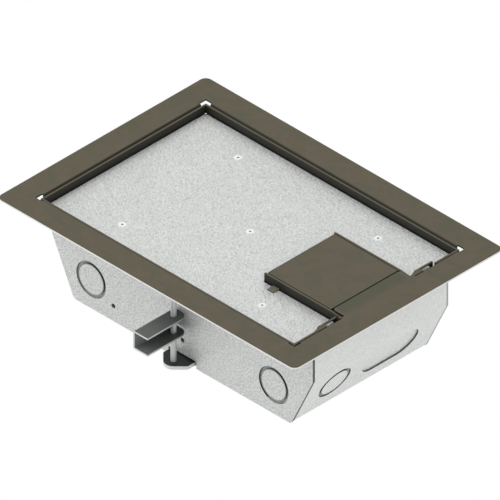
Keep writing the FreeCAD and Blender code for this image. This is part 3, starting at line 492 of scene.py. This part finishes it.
@dataclass(frozen=True)
class TrimPaintAndShade:
    """Brown baked paint, lit on level faces, with painted shade that turns bends and walls near black, and bare
    metal with a painted highlight on the outer cut edge.
    """

    name: str = "trim_paint"
    top: Colour = tone(96, 86, 71)
    top_shade: Colour = tone(84, 83, 65)
    # painted shade: walls and bends get the first, deep ones the second, well below the top
    side: Colour = tone(44, 44, 38)
    deep_shade: Colour = tone(31, 31, 27)
    # bare metal of the cut edge, brightened by a painted highlight
    edge: Colour = tone(236, 236, 233)
    # painted shade on the tongue, which lies a little below the flange
    tongue: Colour = tone(76, 78, 61)
    roughness: float = 0.5
    rough_span: tuple[float, float] = (0.06, -0.04)
    specular: float = 0.22
    grain: float = 0.9 * MM
    depth: float = 0.03 * MM
    softened: float = 0.2 * MM
    cloud_grains: float = 16.0
    cloud_octaves: float = 3.0
    cloud_swirl: float = 0.8
    cloud_weight: float = 0.8
    band: float = 1.9 * MM
    deep_below: float = 8.0 * MM
    tongue_length: float = 20.0 * MM
    tongue_fade: tuple[float, float] = (4.0 * MM, 1.0 * MM)
    tongue_share: float = 0.8
    tongue_end: float | None = None
    # X places of the lit flat top; beyond them the bends get painted shade
    shaded_ends: tuple[float, float] | None = None
    bare_highlit_beyond: tuple[float, float] | None = None

    def make(self) -> bpy.types.Material:
        """Builds the material.

        Returns:
            The finished material.
        """
        shader = Shader(self.name)
        peel = shader.noise(self.grain)
        cloud = shader.noise(self.cloud_grains * self.grain, self.cloud_octaves, swirl=self.cloud_swirl)
        share = shader.mottle(cloud, peel, self.cloud_weight, CRISP_BAND)
        top = shader.blend(share, self.top_shade, self.top)
        # painted shade on the tongue
        if self.tongue_end:
            top = shader.blend(self.tongue_shadow(shader), top, self.tongue)
        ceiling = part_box("trim_frame")[1].z
        height = shader.at("Z")
        # painted shade, deepening down the walls
        rise = shader.spread(height, ceiling - self.deep_below, ceiling - self.band)
        lit = shader.both(shader.over(shader.facing("Z"), LEVEL), shader.over(height, ceiling - self.band))
        # painted shade at the ends of the flat top
        if self.shaded_ends:
            low, high = self.shaded_ends
            between = shader.both(shader.over(shader.at("X"), low), shader.under(shader.at("X"), high))
            lit = shader.both(lit, between)
        # level faces near the top keep the paint; walls and bends get painted shade
        colour = shader.blend(lit, shader.blend(rise, self.deep_shade, self.side), top)
        # bare cut edge, with a painted highlight
        if self.bare_highlit_beyond:
            far_x, far_y = self.bare_highlit_beyond
            far = shader.either(shader.over(shader.reach("X"), far_x), shader.over(shader.reach("Y"), far_y))
            colour = shader.blend(shader.both(far, shader.wall()), colour, self.edge)
        shader.colour(colour)
        shader.set(Specular_IOR_Level=self.specular)
        shader.roughen(peel, self.roughness, self.rough_span)
        shader.relief(peel, self.depth, self.softened)
        return shader.material

    def tongue_shadow(self, shader: Shader) -> Socket:
        """Share of the painted shade on the tongue, which fades out towards the flange.

        Args:
            shader: the shader being built.

        Returns:
            The share, 0 to 1.
        """
        before, after = self.tongue_fade
        fade = shader.spread(shader.at("X"), self.tongue_end - before, self.tongue_end + after,
                             self.tongue_share, 0.0)
        ahead = shader.over(shader.at("X"), self.tongue_end - self.tongue_length)
        inside = shader.under(shader.reach("Y"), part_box("tongue_lip")[1].y)
        return shader.both(shader.both(fade, ahead), inside)


@dataclass(frozen=True)
class Steel:
    """Plain steel with a fine mottled surface."""

    name: str = "screw_steel"
    colour: Colour = tone(196, 197, 198)
    shade: Colour = tone(178, 179, 180)
    grain: float = 0.6 * MM
    octaves: float = 3.0
    cloud_grains: float = 20.0
    grain_weight: float = 0.6
    depth: float = 0.02 * MM
    softened: float = 0.15 * MM
    metallic: float = 0.6
    roughness: float = 0.36

    def make(self) -> bpy.types.Material:
        """Builds the material.

        Returns:
            The finished material.
        """
        shader = Shader(self.name)
        fine = shader.noise(self.grain, self.octaves)
        cloud = shader.noise(self.cloud_grains * self.grain)
        share = shader.mottle(fine, cloud, self.grain_weight)
        shader.colour(self.marked(shader, shader.blend(share, self.shade, self.colour)))
        shader.set(Metallic=self.metallic)
        shader.roughen(fine, self.roughness)
        shader.relief(fine, self.depth, self.softened)
        return shader.material

    def marked(self, shader: Shader, steel: Socket) -> Socket:
        """The colour as it is, for steel with no marks of its own."""
        return steel


@dataclass(frozen=True)
class ArmSteel(Steel):
    """Oiled steel of the clamp arms, with painted shade that darkens it towards the screw, and bright sheared
    edges.
    """

    name: str = "arm_steel"
    colour: Colour = tone(127, 131, 128)
    shade: Colour = tone(116, 120, 117)
    # painted shade towards the screw: on the flats, and on the sheared edges near it
    inner: Colour = tone(68, 71, 69)
    web: Colour = tone(132, 136, 132)
    cut_near_shade: Colour = tone(120, 122, 120)
    bright: Colour = tone(214, 215, 214)
    metallic: float = 0.2
    roughness: float = 0.5
    shaded_part: float = 0.8
    end_band: float = 0.3 * MM

    def marked(self, shader: Shader, steel: Socket) -> Socket:
        """Paints shade on the flanges and web that deepens towards the screw, and brightens the sheared edges.

        Args:
            shader: the shader being built.
            steel: the colour of the flat sheet.

        Returns:
            The colour with its edges.
        """
        low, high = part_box("front_clamp_arm")
        far = -low.y
        near = -high.y
        # painted shade, deepest at the screw end
        along = shader.spread(shader.reach("Y"), near, near + self.shaded_part * (far - near))
        flat = shader.blend(along, self.inner, steel)
        end = shader.over(shader.reach("Y"), far - self.end_band)
        cut = shader.blend(along, self.cut_near_shade, self.bright)
        web = shader.blend(along, self.inner, self.web)
        sides = shader.blend(shader.either(shader.half_turn_quarters(), end), web, cut)
        return shader.blend(shader.wall(), flat, sides)


@dataclass(frozen=True)
class FootSteel(Steel):
    """Thick dark plate with a bright sheared edge all round."""

    name: str = "foot_steel"
    colour: Colour = tone(52, 57, 54)
    shade: Colour = tone(46, 50, 47)
    bright: Colour = tone(232, 233, 232)
    metallic: float = 0.2
    roughness: float = 0.5

    def marked(self, shader: Shader, steel: Socket) -> Socket:
        """Brightens the sheared edge."""
        return shader.blend(shader.wall(), steel, self.bright)


@dataclass(frozen=True)
class RivetMetal(Steel):
    """Bright aluminium rivet, its mandrel hole painted dark as shade."""

    name: str = "rivet_metal"
    colour: Colour = tone(250, 250, 250)
    shade: Colour = tone(246, 246, 246)
    # painted shade in the mandrel hole
    hole_shade: Colour = tone(30, 30, 30)
    metallic: float = 0.0
    roughness: float = 0.4
    hole_depth: float = 0.42 * MM

    def marked(self, shader: Shader, steel: Socket) -> Socket:
        """Paints shade in the mandrel hole, below the flat of the head."""
        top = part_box("lid_rivets")[1].z
        return shader.blend(shader.under(shader.at("Z"), top - self.hole_depth), steel, self.hole_shade)


@dataclass(frozen=True)
class ThreadedRod(Steel):
    """Zinc-plated clamp screw with a fine rolled thread on its shank."""

    name: str = "rod_steel"
    colour: Colour = tone(206, 207, 207)
    shade: Colour = tone(196, 197, 197)
    octaves: float = 2.0
    metallic: float = 0.35
    rough_span: tuple[float, float] = (0.06, -0.02)
    side: float = -1.0  # -1 for the front screw, 1 for the rear one
    pitch: float = 1.058 * MM
    thread_depth: float = 0.12 * MM

    def make(self) -> bpy.types.Material:
        """Builds the material, with the thread as relief.

        Returns:
            The finished material.
        """
        shader = Shader(self.name)
        fine = shader.noise(self.grain, self.octaves)
        shader.colour(shader.blend(shader.spread(fine, *NOISE_BAND), self.shade, self.colour))
        shader.set(Metallic=self.metallic)
        shader.roughen(fine, self.roughness, self.rough_span)
        low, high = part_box("front_clamp_screw")
        middle = self.side * abs(low.y + high.y) / 2
        turn = shader.maths("ARCTAN2", shader.maths("SUBTRACT", shader.at("Y"), middle), shader.at("X"))
        climb = shader.maths("DIVIDE", shader.at("Z"), self.pitch)
        flank = shader.maths("FRACT", shader.maths("SUBTRACT", climb, shader.maths("DIVIDE", turn, math.tau)))
        crest = shader.maths("ABSOLUTE", shader.maths("SUBTRACT", flank, 0.5))
        shader.relief(crest, self.thread_depth)
        return shader.material


@dataclass(frozen=True)
class Plastic:
    """Moulded plastic with a fine spark-eroded texture."""

    name: str = "plastic"
    colour: Colour = tone(228, 225, 216)
    grain: float = 0.35 * MM
    cloud_grains: float = 60.0
    shade: float = 0.93
    depth: float = 0.015 * MM
    softened: float = 0.3 * MM
    roughness: float = 0.42

    def make(self) -> bpy.types.Material:
        """Builds the material.

        Returns:
            The finished material.
        """
        shader = Shader(self.name)
        fine = shader.noise(self.grain)
        cloud = shader.noise(self.cloud_grains * self.grain)
        darker = tuple(self.shade * value for value in self.colour)
        shader.colour(shader.blend(shader.spread(cloud, *NOISE_BAND), darker, self.colour))
        shader.roughen(fine, self.roughness)
        shader.relief(fine, self.depth, self.softened)
        return shader.material


# ------------------------------------------------------------------ modelling helpers
def slope_plane(least_x: float = 0.8, most_z: float = -0.3) -> tuple[Vector, float]:
    """Outer face of the right sloped wall, taken from the slug that lies flush in it.

    Args:
        least_x: how far the face looks to the right at least.
        most_z: how far it looks up at most.

    Returns:
        The face's outward direction, and its distance from the frame's origin.
    """
    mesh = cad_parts["end_knockouts"].data
    outward = [face for face in mesh.polygons if face.normal.x > least_x and face.normal.z < most_z]
    first = max(outward, key=lambda face: face.center.dot(face.normal))
    return first.normal.copy(), first.center.dot(first.normal)


def corners(points: list[Vector]) -> tuple[Vector, Vector]:
    """Finds the upright box round some points.

    Args:
        points: the points.

    Returns:
        The box's low and high corners.
    """
    lows = Vector([min(point[axis] for point in points) for axis in range(3)])
    highs = Vector([max(point[axis] for point in points) for axis in range(3)])
    return lows, highs


def slugs(node: str) -> tuple[list[Vector], float]:
    """Finds the round slugs of a node, of which no two lie in one quarter of the box.

    Args:
        node: the node's name.

    Returns:
        The slugs' middles, and the radius of their faces.
    """
    quarters: dict[tuple[bool, bool], list[Vector]] = {}
    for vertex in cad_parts[node].data.vertices:
        quarters.setdefault((vertex.co.x > 0, vertex.co.y > 0), []).append(vertex.co)
    middles = []
    radius = 0.0
    for points in quarters.values():
        lows, highs = corners(points)
        middles.append((lows + highs) / 2)
        radius = max((highs - lows).xy) / 2
    return middles, radius


def dress(material: bpy.types.Material, *nodes: str) -> None:
    """Gives CAD nodes a finish.

    Args:
        material: the finish.
        nodes: the nodes' names.
    """
    for name in nodes:
        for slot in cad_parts[name].material_slots:
            slot.material = material
        LOG.info("dressed %s with %s", name, material.name)


def alone(piece: bpy.types.Object | None = None) -> None:
    """Deselects everything, then selects the piece, if one is given, and makes it active.

    Args:
        piece: the piece to work on.
    """
    bpy.ops.object.select_all(action="DESELECT")
    if piece:
        piece.select_set(True)
        bpy.context.view_layer.objects.active = piece


def edges_where(piece: bpy.types.Object, test: Callable[[Vector, Vector], bool]) -> None:
    """Enters edit mode with only some edges selected.

    Args:
        piece: the piece to edit.
        test: a function of an edge's two ends that says whether it is selected.
    """
    alone(piece)
    bpy.ops.object.mode_set(mode="EDIT")
    bpy.ops.mesh.select_mode(type="EDGE")
    bpy.ops.mesh.select_all(action="DESELECT")
    bpy.ops.object.mode_set(mode="OBJECT")
    points = piece.data.vertices
    for edge in piece.data.edges:
        edge.select = test(*(points[index].co for index in edge.vertices))
    bpy.ops.object.mode_set(mode="EDIT")


def settle(piece: bpy.types.Object, name: str, material: bpy.types.Material, body: str) -> None:
    """Finishes a piece: place put into its mesh, named, dressed and riding on its body.

    Args:
        piece: the piece.
        name: its name.
        material: its finish.
        body: the body that carries it.
    """
    alone(piece)
    bpy.ops.object.transform_apply(location=True, rotation=True, scale=True)
    piece.name = name
    piece.data.materials.clear()
    piece.data.materials.append(material)
    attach(piece, body)
    LOG.info("made %s on %s, %d faces", name, body, len(piece.data.polygons))


def join(pieces: list[bpy.types.Object]) -> bpy.types.Object:
    """Makes one object of several.

    Args:
        pieces: the pieces, of which the first keeps its name.

    Returns:
        The joined piece.
    """
    alone(pieces[0])
    for piece in pieces:
        piece.select_set(True)
    bpy.ops.object.join()
    return bpy.context.object


def copy_to(pattern: bpy.types.Object, places: list[Vector]) -> bpy.types.Object:
    """Copies a pattern that was made round the origin to every place, and joins the copies.

    Args:
        pattern: the piece to repeat, which is used up.
        places: where the copies go.

    Returns:
        One object with all the copies.
    """
    copies = []
    for place in places:
        copy = pattern.copy()
        copy.data = pattern.data.copy()
        bpy.context.scene.collection.objects.link(copy)
        copy.location = place
        alone(copy)
        bpy.ops.object.transform_apply(location=True, rotation=True, scale=True)
        copies.append(copy)
    bpy.data.objects.remove(pattern)
    return join(copies)


def heads(node: str, spacing: float) -> list[Vector]:
    """Tops of the separate fasteners in a node.

    Args:
        node: the node's name.
        spacing: the least distance between two fasteners, in metres.

    Returns:
        The middle of each fastener's top.
    """
    groups: list[list[Vector]] = []
    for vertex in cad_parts[node].data.vertices:
        for group in groups:
            if (group[0].xy - vertex.co.xy).length < spacing:
                group.append(vertex.co.copy())
                break
        else:
            groups.append([vertex.co.copy()])
    tops = []
    for group in groups:
        lows, highs = corners(group)
        middle = (lows + highs) / 2
        tops.append(Vector((middle.x, middle.y, highs.z)))
    return tops


# ------------------------------------------------------------------ studio
@dataclass
class Studio:
    """White floor and surround, one soft lamp, and the camera that looks down over the box's corner."""

    across: float = 0.43
    azimuth: float = 45.0
    elevation: float = math.degrees(math.asin(1 / math.sqrt(3)))
    aim_below_top: float = 28.42 * MM
    aim_off: float = -0.1 * MM
    distance: float = 2.0
    floor_size: float = 6.0
    floor_white: float = 0.9
    floor_roughness: float = 0.9
    sky_strength: float = 0.85
    key_place: tuple[float, float, float] = (-0.9, -1.1, 1.7)
    key_size: float = 1.3
    key_power: float = 9.0

    def build(self) -> None:
        """Makes floor, world, lamp and camera."""
        self.floor()
        self.sky()
        self.lamp("key_light", Vector(self.key_place), self.key_size, self.key_power)
        self.camera()
        bpy.context.scene.view_settings.view_transform = "Standard"

    def seen(self, tree: bpy.types.NodeTree) -> Socket:
        """Mask for the rays that show the background rather than light the object.

        Args:
            tree: the node tree to add to.

        Returns:
            1 for camera, glossy and transmission rays.
        """
        path = tree.nodes.new("ShaderNodeLightPath")
        seen = path.outputs["Is Camera Ray"]
        for name in ("Is Glossy Ray", "Is Transmission Ray"):
            node = tree.nodes.new("ShaderNodeMath")
            node.operation = "MAXIMUM"
            tree.links.new(seen, node.inputs[0])
            tree.links.new(path.outputs[name], node.inputs[1])
            seen = node.outputs[0]
        return seen

    def floor(self) -> None:
        """Makes the pale floor, which the camera sees as plain white."""
        alone()
        bpy.ops.mesh.primitive_plane_add(size=self.floor_size, location=(0, 0, 0))
        floor = bpy.context.object
        floor.name = "studio_floor"
        shader = Shader("studio_white")
        shader.colour((self.floor_white,) * 3)
        shader.set(Roughness=self.floor_roughness)
        tree = shader.tree
        glow = tree.nodes.new("ShaderNodeEmission")
        mix = tree.nodes.new("ShaderNodeMixShader")
        shader.plug(self.seen(tree), mix.inputs[0])
        shader.plug(shader.principled.outputs[0], mix.inputs[1])
        shader.plug(glow.outputs[0], mix.inputs[2])
        shader.plug(mix.outputs[0], tree.nodes["Material Output"].inputs["Surface"])
        floor.data.materials.append(shader.material)

    def sky(self) -> None:
        """Makes the even white surround."""
        world = bpy.data.worlds.new("studio")
        bpy.context.scene.world = world
        world.use_nodes = True
        tree = world.node_tree
        background = tree.nodes["Background"]
        background.inputs["Color"].default_value = (1, 1, 1, 1)
        strength = tree.nodes.new("ShaderNodeMapRange")
        tree.links.new(self.seen(tree), strength.inputs["Value"])
        strength.inputs["To Min"].default_value = self.sky_strength
        strength.inputs["To Max"].default_value = 1.0
        tree.links.new(strength.outputs["Result"], background.inputs["Strength"])

    def lamp(self, name: str, place: Vector, size: float, power: float) -> None:
        """Adds one square soft box aimed at the object.

        Args:
            name: the lamp's name.
            place: where it hangs, in metres.
            size: the side of its square, in metres.
            power: its power, in watts.
        """
        data = bpy.data.lights.new(name, "AREA")
        data.size = size
        data.energy = power
        lamp = bpy.data.objects.new(name, data)
        bpy.context.scene.collection.objects.link(lamp)
        lamp.location = place
        lamp.rotation_euler = (-place).to_track_quat("-Z", "Y").to_euler()

    def camera(self) -> None:
        """Makes the parallel camera."""
        turn = math.radians(self.azimuth)
        rise = math.radians(self.elevation)
        back = Vector((math.sin(turn) * math.cos(rise), -math.cos(turn) * math.cos(rise), math.sin(rise)))
        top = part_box("trim_frame")[1].z
        data = bpy.data.cameras.new("camera")
        data.type = "ORTHO"
        data.ortho_scale = self.across
        camera = bpy.data.objects.new("camera", data)
        bpy.context.scene.collection.objects.link(camera)
        camera.location = Vector((self.aim_off, self.aim_off, top - self.aim_below_top)) + back * self.distance
        camera.rotation_euler = (-back).to_track_quat("-Z", "Y").to_euler()
        bpy.context.scene.camera = camera


# ------------------------------------------------------------------ sub-assemblies
@dataclass
class TrimFrame:
    """The folded trim frame, its tongue and its screws."""

    corner: float = 7.0 * MM
    tongue_end: float = 155.0 * MM

    def build(self) -> None:
        """Dresses the frame; its cut outer edge is bare metal, brightened by a painted highlight."""
        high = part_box("trim_frame")[1]
        paint = TrimPaintAndShade(bare_highlit_beyond=(high.x - self.corner, high.y - self.corner), tongue_end=self.tongue_end)
        dress(paint.make(), "trim_frame")
        # the lip under the door's gap is painted near black, as shade in the gap
        dress(TrimPaintAndShade("tongue_lip_shade", top=tone(30, 30, 26), top_shade=tone(26, 26, 22)).make(), "tongue_lip")
        dress(Steel("frame_screw_steel").make(), "frame_screws")


@dataclass
class Lid:
    """The recessed lid, its plate, its hinges and the cable door."""

    tray_band: float = 2.2 * MM
    strip_band: float = 14.0 * MM
    door_band: float = 2.0 * MM
    # width of the painted shade line at each of the door's bends
    door_bend_shade: float = 0.5 * MM
    top_tolerance: float = 0.05 * MM
    # radius of the plain white disc round each rivet
    rivet_halo_radius: float = 3.9 * MM
    bracket_relief: float = 0.1 * MM

    def build(self) -> None:
        """Dresses the lid and the door."""
        # painted shade on the tray's walls and the hinge leaves' sides
        tray = TrimPaintAndShade("tray_paint", band=self.tray_band)
        dress(tray.make(), "lid_tray", "front_hinge_leaf", "rear_hinge_leaf")
        # painted shade on the rest strip's walls
        strip = TrimPaintAndShade("rest_strip_paint", top=tone(120, 115, 100), top_shade=tone(110, 108, 92),
                          band=self.strip_band)
        dress(strip.make(), "door_rest_strip")
        # darker painted shade on the door's walls and at its bends
        door = TrimPaintAndShade("door_paint", top=tone(95, 86, 71), side=tone(33, 33, 28), deep_shade=tone(24, 24, 20),
                         band=self.door_band, shaded_ends=self.door_flat())
        dress(door.make(), "cable_door")
        # the pin takes the painted wall shade
        dress(TrimPaintAndShade("pin_paint", side=tone(46, 46, 40)).make(), "door_hinge_pin")
        dress(Galvanised("lid_plate_zinc", rivet_halo=self.rivet_halo_radius).make(), "lid_plate")
        # zinc darkened as painted shade, for the brackets lie under the flange
        bracket = Galvanised("shaded_bracket_zinc", colour=tone(128, 129, 121), dull=tone(112, 113, 105),
                             depth=self.bracket_relief)
        dress(bracket.make(), "front_hinge_bracket", "rear_hinge_bracket")
        dress(RivetMetal().make(), "lid_rivets")
        dress(Steel("pin_steel").make(), "front_hinge_pin", "rear_hinge_pin")

    def door_flat(self) -> tuple[float, float]:
        """Where the door's flat top starts and ends along X, less the painted shade line at each bend.

        Returns:
            The two places, in metres.
        """
        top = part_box("cable_door")[1].z - self.top_tolerance
        flat = [vertex.co.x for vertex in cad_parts["cable_door"].data.vertices if vertex.co.z > top]
        return min(flat) + self.door_bend_shade, max(flat) - self.door_bend_shade


@dataclass
class Body:
    """The folded wrap, the side panels and the knockouts."""

    end_relief: float = 0.35 * MM
    end_metallic: float = 0.5
    # weaker painted wrinkle shade and highlight on the sloped ends
    end_wrinkle_light: float = 0.22

    def build(self) -> None:
        """Dresses the body."""
        dress(Galvanised("panel_zinc", cut=Cut.SIDE_PANEL).make(), "front_side_panel", "rear_side_panel")
        dress(Galvanised("side_slug_zinc", cut=Cut.SIDE_SLUG).make(), "side_knockouts")
        dress(self.end_zinc_with_floor_light("wrap_zinc", Cut.WRAP), "body_wrap")
        dress(self.end_zinc_with_floor_light("end_slug_zinc", Cut.END_SLUG), "end_knockouts")
        dress(self.end_zinc_with_floor_light("cover_zinc", Cut.NOWHERE), "right_opening_cover", "left_opening_cover")
        dress(Steel("foot_rivet_steel").make(), "foot_rivets")

    def end_zinc_with_floor_light(self, name: str, cut: Cut) -> bpy.types.Material:
        """The paler, smoother zinc of the sloped ends; the paleness is painted light from the white floor
        below.

        Args:
            name: the material's name.
            cut: where its sheared edges lie.

        Returns:
            The finished material.
        """
        zinc = Galvanised(name, cut, colour=tone(238, 240, 238), dull=tone(224, 226, 224),
                          depth=self.end_relief, metallic=self.end_metallic, wrinkle_light_share=self.end_wrinkle_light)
        return zinc.make()


@dataclass
class Clamps:
    """The two floor clamps."""

    def build(self) -> None:
        """Dresses the clamps; the sheared edges of arms and feet are bright."""
        dress(FootSteel().make(), "front_clamp_foot", "rear_clamp_foot")
        arm = ArmSteel().make()
        dress(arm, "front_clamp_arm", "rear_clamp_arm")
        dress(Steel("nut_steel", colour=tone(70, 73, 70), shade=tone(62, 65, 62), metallic=0.2).make(),
              "front_clamp_nut", "rear_clamp_nut")
        for name, side in (("front", -1.0), ("rear", 1.0)):
            dress(ThreadedRod(name + "_rod_steel", side=side).make(), name + "_clamp_screw")
        dress(Steel("ring_steel").make(), "front_clamp_screw_ring", "rear_clamp_screw_ring")


@dataclass
class Devices:
    """What stands inside the box."""

    inner_relief: float = 0.1 * MM
    recess_size: tuple[float, float, float] = (3.0 * MM, 0.7 * MM, 0.3 * MM)
    recess_sink: float = 0.12 * MM
    recess_bevel: float = 0.1 * MM
    screw_spacing: float = 4.0 * MM
    jack_count: int = 4
    contact_count: int = 8
    contact_sides: int = 8
    contact_pitch: float = 1.02 * MM
    contact_width: float = 0.36 * MM
    contact_length: float = 7.4 * MM
    contact_tilt: float = 32.0
    contact_back: float = 1.2 * MM
    contact_depth: float = 5.5 * MM
    middle_screw_radius: float = 2.6 * MM
    middle_screw_height: float = 0.9 * MM
    middle_screw_base: float = 2.1 * MM
    middle_screw_bevel: float = 0.35 * MM
    middle_screw_sides: int = 32
    middle_screw_steps: int = 3
    middle_screw_slot: tuple[float, float, float] = (0.6 * MM, 8.0 * MM, 0.8 * MM)

    def build(self) -> None:
        """Dresses the plates, receptacles, jacks and partition, and adds their small fittings."""
        inner = Galvanised("inner_zinc", depth=self.inner_relief, colour=tone(205, 207, 205),
                           dull=tone(190, 192, 190))
        dress(inner.make(), "front_device_rail", "rear_device_rail", "power_plate", "data_plate", "divider")
        dress(Steel("yoke_steel").make(), "front_receptacle_yoke", "rear_receptacle_yoke")
        dress(Plastic("receptacle_plastic").make(), "front_receptacle_face", "rear_receptacle_face")
        dress(Plastic("body_plastic", colour=tone(56, 56, 57)).make(), "front_receptacle_body",
              "rear_receptacle_body")
        dress(Plastic("jack_plastic", colour=tone(230, 230, 228)).make(), "data_jack_1", "data_jack_2",
              "data_jack_3", "data_jack_4")
        dress(Steel("plate_screw_steel").make(), "plate_screws", "receptacle_screws", "divider_screws")
        dress(Steel("ground_steel", colour=tone(48, 130, 76), shade=tone(42, 116, 66)).make(), "ground_screw")
        self.cross_recesses()
        self.jack_contacts()
        self.middle_screws()

    def cross_recesses(self) -> None:
        """Adds a black cross on the head of every small screw, as painted shade where its cross recess lies."""
        # black stands in for the shade in each cross recess
        dark = Steel("recess_shade_black", colour=tone(34, 34, 35), shade=tone(26, 26, 27), metallic=0.0).make()
        for node in ("plate_screws", "receptacle_screws", "divider_screws", "frame_screws"):
            bars = []
            for angle in (0.0, math.pi / 2):
                alone()
                bpy.ops.mesh.primitive_cube_add(size=1, location=(0, 0, 0), rotation=(0, 0, angle))
                bar = bpy.context.object
                bar.scale = self.recess_size
                alone(bar)
                bpy.ops.object.transform_apply(location=True, rotation=True, scale=True)
                edges_where(bar, lambda first, second: first.z > 0 and second.z > 0)
                bpy.ops.mesh.bevel(offset=self.recess_bevel, segments=1)
                bpy.ops.object.mode_set(mode="OBJECT")
                bars.append(bar)
            sink = Vector((0, 0, self.recess_sink))
            cross = copy_to(join(bars), [top - sink for top in heads(node, self.screw_spacing)])
            settle(cross, node.rstrip("s") + "_recesses", dark, "box")

    def jack_contacts(self) -> None:
        """Adds the eight gilt spring wires in each data jack's socket."""
        gilt = Steel("contact_gilt", colour=tone(214, 172, 88), shade=tone(198, 152, 72), metallic=0.9,
                     roughness=0.25).make()
        start = -(self.contact_count - 1) / 2 * self.contact_pitch
        for number in range(1, self.jack_count + 1):
            low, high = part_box("data_jack_%d" % number)
            middle = (low + high) / 2
            alone()
            bpy.ops.mesh.primitive_cylinder_add(vertices=self.contact_sides, radius=self.contact_width / 2,
                                                depth=self.contact_length, location=(0, 0, 0))
            wire = bpy.context.object
            alone(wire)
            bpy.ops.object.mode_set(mode="EDIT")
            bpy.ops.mesh.select_all(action="SELECT")
            bpy.ops.transform.rotate(value=math.radians(self.contact_tilt), orient_axis="Y",
                                     center_override=(0, 0, 0))
            bpy.ops.object.mode_set(mode="OBJECT")
            first = Vector((middle.x - self.contact_back, middle.y + start, high.z - self.contact_depth))
            places = [first + Vector((0, index * self.contact_pitch, 0)) for index in range(self.contact_count)]
            settle(copy_to(wire, places), "data_jack_%d_contacts" % number, gilt, "box")

    def middle_screws(self) -> None:
        """Adds the slotted screw in the middle of each receptacle's face."""
        steel = Steel("middle_screw_steel").make()
        for side in ("front", "rear"):
            low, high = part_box(side + "_receptacle_face")
            alone()
            bpy.ops.mesh.primitive_cylinder_add(vertices=self.middle_screw_sides,
                                                radius=self.middle_screw_radius,
                                                depth=self.middle_screw_height, location=(0, 0, 0))
            head = bpy.context.object
            top = self.middle_screw_height / 2
            edges_where(head, lambda first, second: first.z > 0 and second.z > 0)
            bpy.ops.mesh.bevel(offset=self.middle_screw_bevel, segments=self.middle_screw_steps)
            bpy.ops.object.mode_set(mode="OBJECT")
            alone()
            bpy.ops.mesh.primitive_cube_add(size=1, location=(0, 0, top))
            cutter = bpy.context.object
            cutter.scale = self.middle_screw_slot
            slot = head.modifiers.new("slot", "BOOLEAN")
            slot.operation = "DIFFERENCE"
            slot.object = cutter
            alone(head)
            bpy.ops.object.modifier_apply(modifier="slot")
            bpy.data.objects.remove(cutter)
            head.location = Vector(((low.x + high.x) / 2, (low.y + high.y) / 2,
                                    low.z + self.middle_screw_base + top))
            settle(head, side + "_receptacle_middle_screw", steel, "box")


def main() -> None:
    """Builds the studio and every sub-assembly in order."""
    logging.basicConfig(level=logging.INFO, format="%(name)s: %(message)s")
    Studio().build()
    TrimFrame().build()
    Lid().build()
    Body().build()
    Clamps().build()
    Devices().build()
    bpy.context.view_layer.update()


if __name__ == "__main__":
    main()
